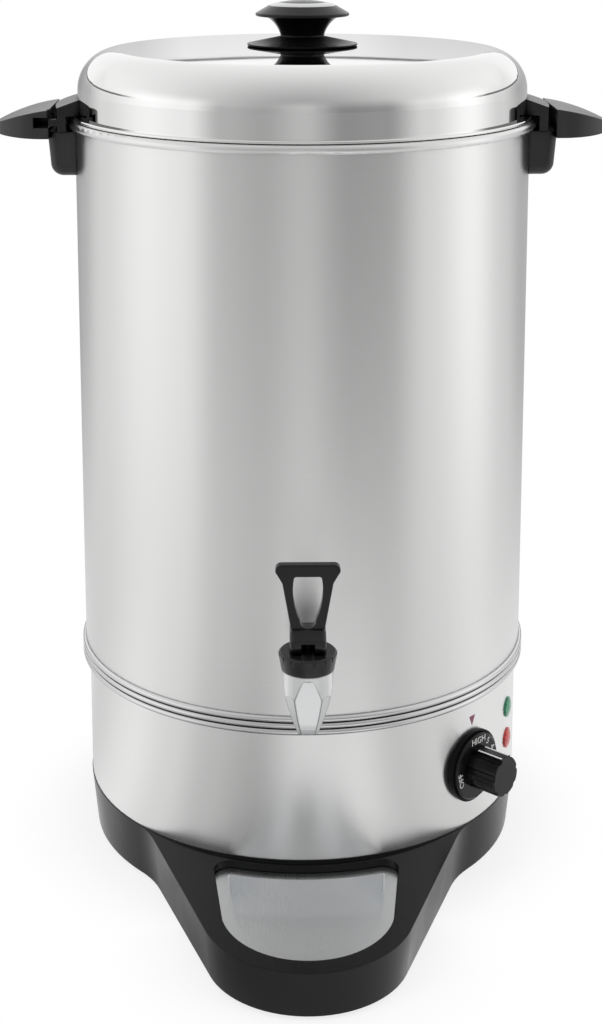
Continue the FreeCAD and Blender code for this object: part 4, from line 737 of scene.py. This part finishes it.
# pale floor: white to the camera with a shadow round the base, and the table's light to shiny
# surfaces
def makeFloor(look):
    half = look["half"]
    mesh = bpy.data.meshes.new("floor")
    mesh.from_pydata([(-half, -half, 0), (half, -half, 0), (half, half, 0), (-half, half, 0)],
                     [], [(0, 1, 2, 3)])
    floor = bpy.data.objects.new("floor", mesh)
    scene.collection.objects.link(floor)
    material = makeMaterial("paleFloor")
    tree = material.node_tree
    axis = (0.0, tankAxisY, 0.0)
    path = addNode(tree, "ShaderNodeLightPath")
    place = addNode(tree, "ShaderNodeNewGeometry").outputs["Position"]
    # the table's light: near the object, further off, and where the room takes over
    offset = addNode(tree, "ShaderNodeVectorMath", {0: place, 1: axis}, operation="SUBTRACT")
    direction = offset.outputs["Vector"]
    length = addDistance(tree, place, axis, 0.0)
    near = addTurnRamp(tree, direction, look["nearLevels"])
    middle = addMix(tree, "FLOAT", addSpan(tree, length, look["nearEnd"], smooth=True), near,
                    look["middleLevel"])
    far = placeGroup(tree, roomLight, {"Direction": direction})
    mirrored = addMix(tree, "FLOAT", addSpan(tree, length, look["farStart"], smooth=True), middle,
                      far.outputs["Level"])
    strength = addMix(tree, "FLOAT", path.outputs["Is Camera Ray"], mirrored, 1.0)
    glow = addNode(tree, "ShaderNodeEmission", {"Color": strength})
    # how much of it the camera and shiny surfaces see; the rest is the lit floor with its shadow
    fromBase = addMath(tree, "MINIMUM", addDistance(tree, place, axis, look["bodyRadius"]),
                       addDistance(tree, place, look["lobeAt"], look["lobeRadius"]))
    white = addSpan(tree, fromBase, (0.0, look["whiteAt"]), (look["glow"], 1.0), smooth=True)
    seen = addMath(tree, "MULTIPLY", path.outputs["Is Camera Ray"], white)
    shiny = addMath(tree, "MULTIPLY", addShinyRays(tree, path), look["mirrored"])
    shader = addNode(tree, "ShaderNodeBsdfPrincipled", {"Base Color": opaque(look["color"]),
                                                        "Roughness": look["rough"]})
    surface = addMixShader(tree, addMath(tree, "MAXIMUM", shiny, seen), shader.outputs["BSDF"],
                           glow.outputs["Emission"])
    addNode(tree, "ShaderNodeOutputMaterial", {"Surface": surface})
    mesh.materials.append(material)


worldLook = {"ambient": 0.55}


def addSky(tree, color, strength):
    sky = addNode(tree, "ShaderNodeBackground", {"Color": color, "Strength": strength})
    return sky.outputs["Background"]


# white for the camera, the room for shiny surfaces, and an even light for the rest
def makeWorld(look):
    world = bpy.data.worlds.new("studioRoom")
    world.use_nodes = True
    scene.world = world
    tree = world.node_tree
    tree.nodes.clear()
    white = (1.0, 1.0, 1.0, 1.0)
    path = addNode(tree, "ShaderNodeLightPath")
    coords = addNode(tree, "ShaderNodeTexCoord")
    level = placeGroup(tree, roomLight, {"Direction": coords.outputs["Generated"]})
    mirrored = addSky(tree, level.outputs["Level"], 1.0)
    around = addMixShader(tree, addShinyRays(tree, path), addSky(tree, white, look["ambient"]),
                          mirrored)
    surface = addMixShader(tree, path.outputs["Is Camera Ray"], around, addSky(tree, white, 1.0))
    addNode(tree, "ShaderNodeOutputWorld", {"Surface": surface})


# lamps for the dull surfaces and the shadow; shiny ones see the room instead
softBoxAim = (0.0, tankAxisY, 0.28)
softBoxes = {
    "left": {"at": (-1.5, -1.2, 1.3), "size": (0.9, 1.6), "watts": 16.0},
    "right": {"at": (1.7, -0.9, 1.2), "size": (0.9, 1.6), "watts": 13.0},
    "top": {"at": (0.0, -0.2, 2.0), "size": (1.4, 1.4), "watts": 14.0},
}


def makeLights(boxes):
    for name, box in boxes.items():
        light = bpy.data.lights.new(name + "SoftBox", "AREA")
        light.shape = "RECTANGLE"
        light.size, light.size_y = box["size"]
        light.energy = box["watts"]
        holder = bpy.data.objects.new(name + "SoftBox", light)
        scene.collection.objects.link(holder)
        ray = Vector(softBoxAim) - Vector(box["at"])
        holder.location = box["at"]
        holder.rotation_euler = ray.to_track_quat("-Z", "Y").to_euler()
        holder.visible_glossy = False


# the photograph's view, angles in degrees
cameraSetting = {
    "at": (-0.0204, -1.1296, 0.6201),
    "tilt": 79.386,
    "roll": 0.0,
    "turn": -0.968,
    "lens": 65.015,
    "sensor": 36.0,
    "shift": (-0.00063, -0.27),
}


def makeCamera(setting):
    data = bpy.data.cameras.new("photoCamera")
    data.lens = setting["lens"]
    data.sensor_width = setting["sensor"]
    data.shift_x, data.shift_y = setting["shift"]
    camera = bpy.data.objects.new("photoCamera", data)
    scene.collection.objects.link(camera)
    camera.location = setting["at"]
    camera.rotation_euler = [math.radians(setting[key]) for key in ("tilt", "roll", "turn")]
    scene.camera = camera


makeFloor(floorLook)
makeWorld(worldLook)
makeLights(softBoxes)
makeCamera(cameraSetting)
scene.view_settings.view_transform = "Standard"
print("studio ready")
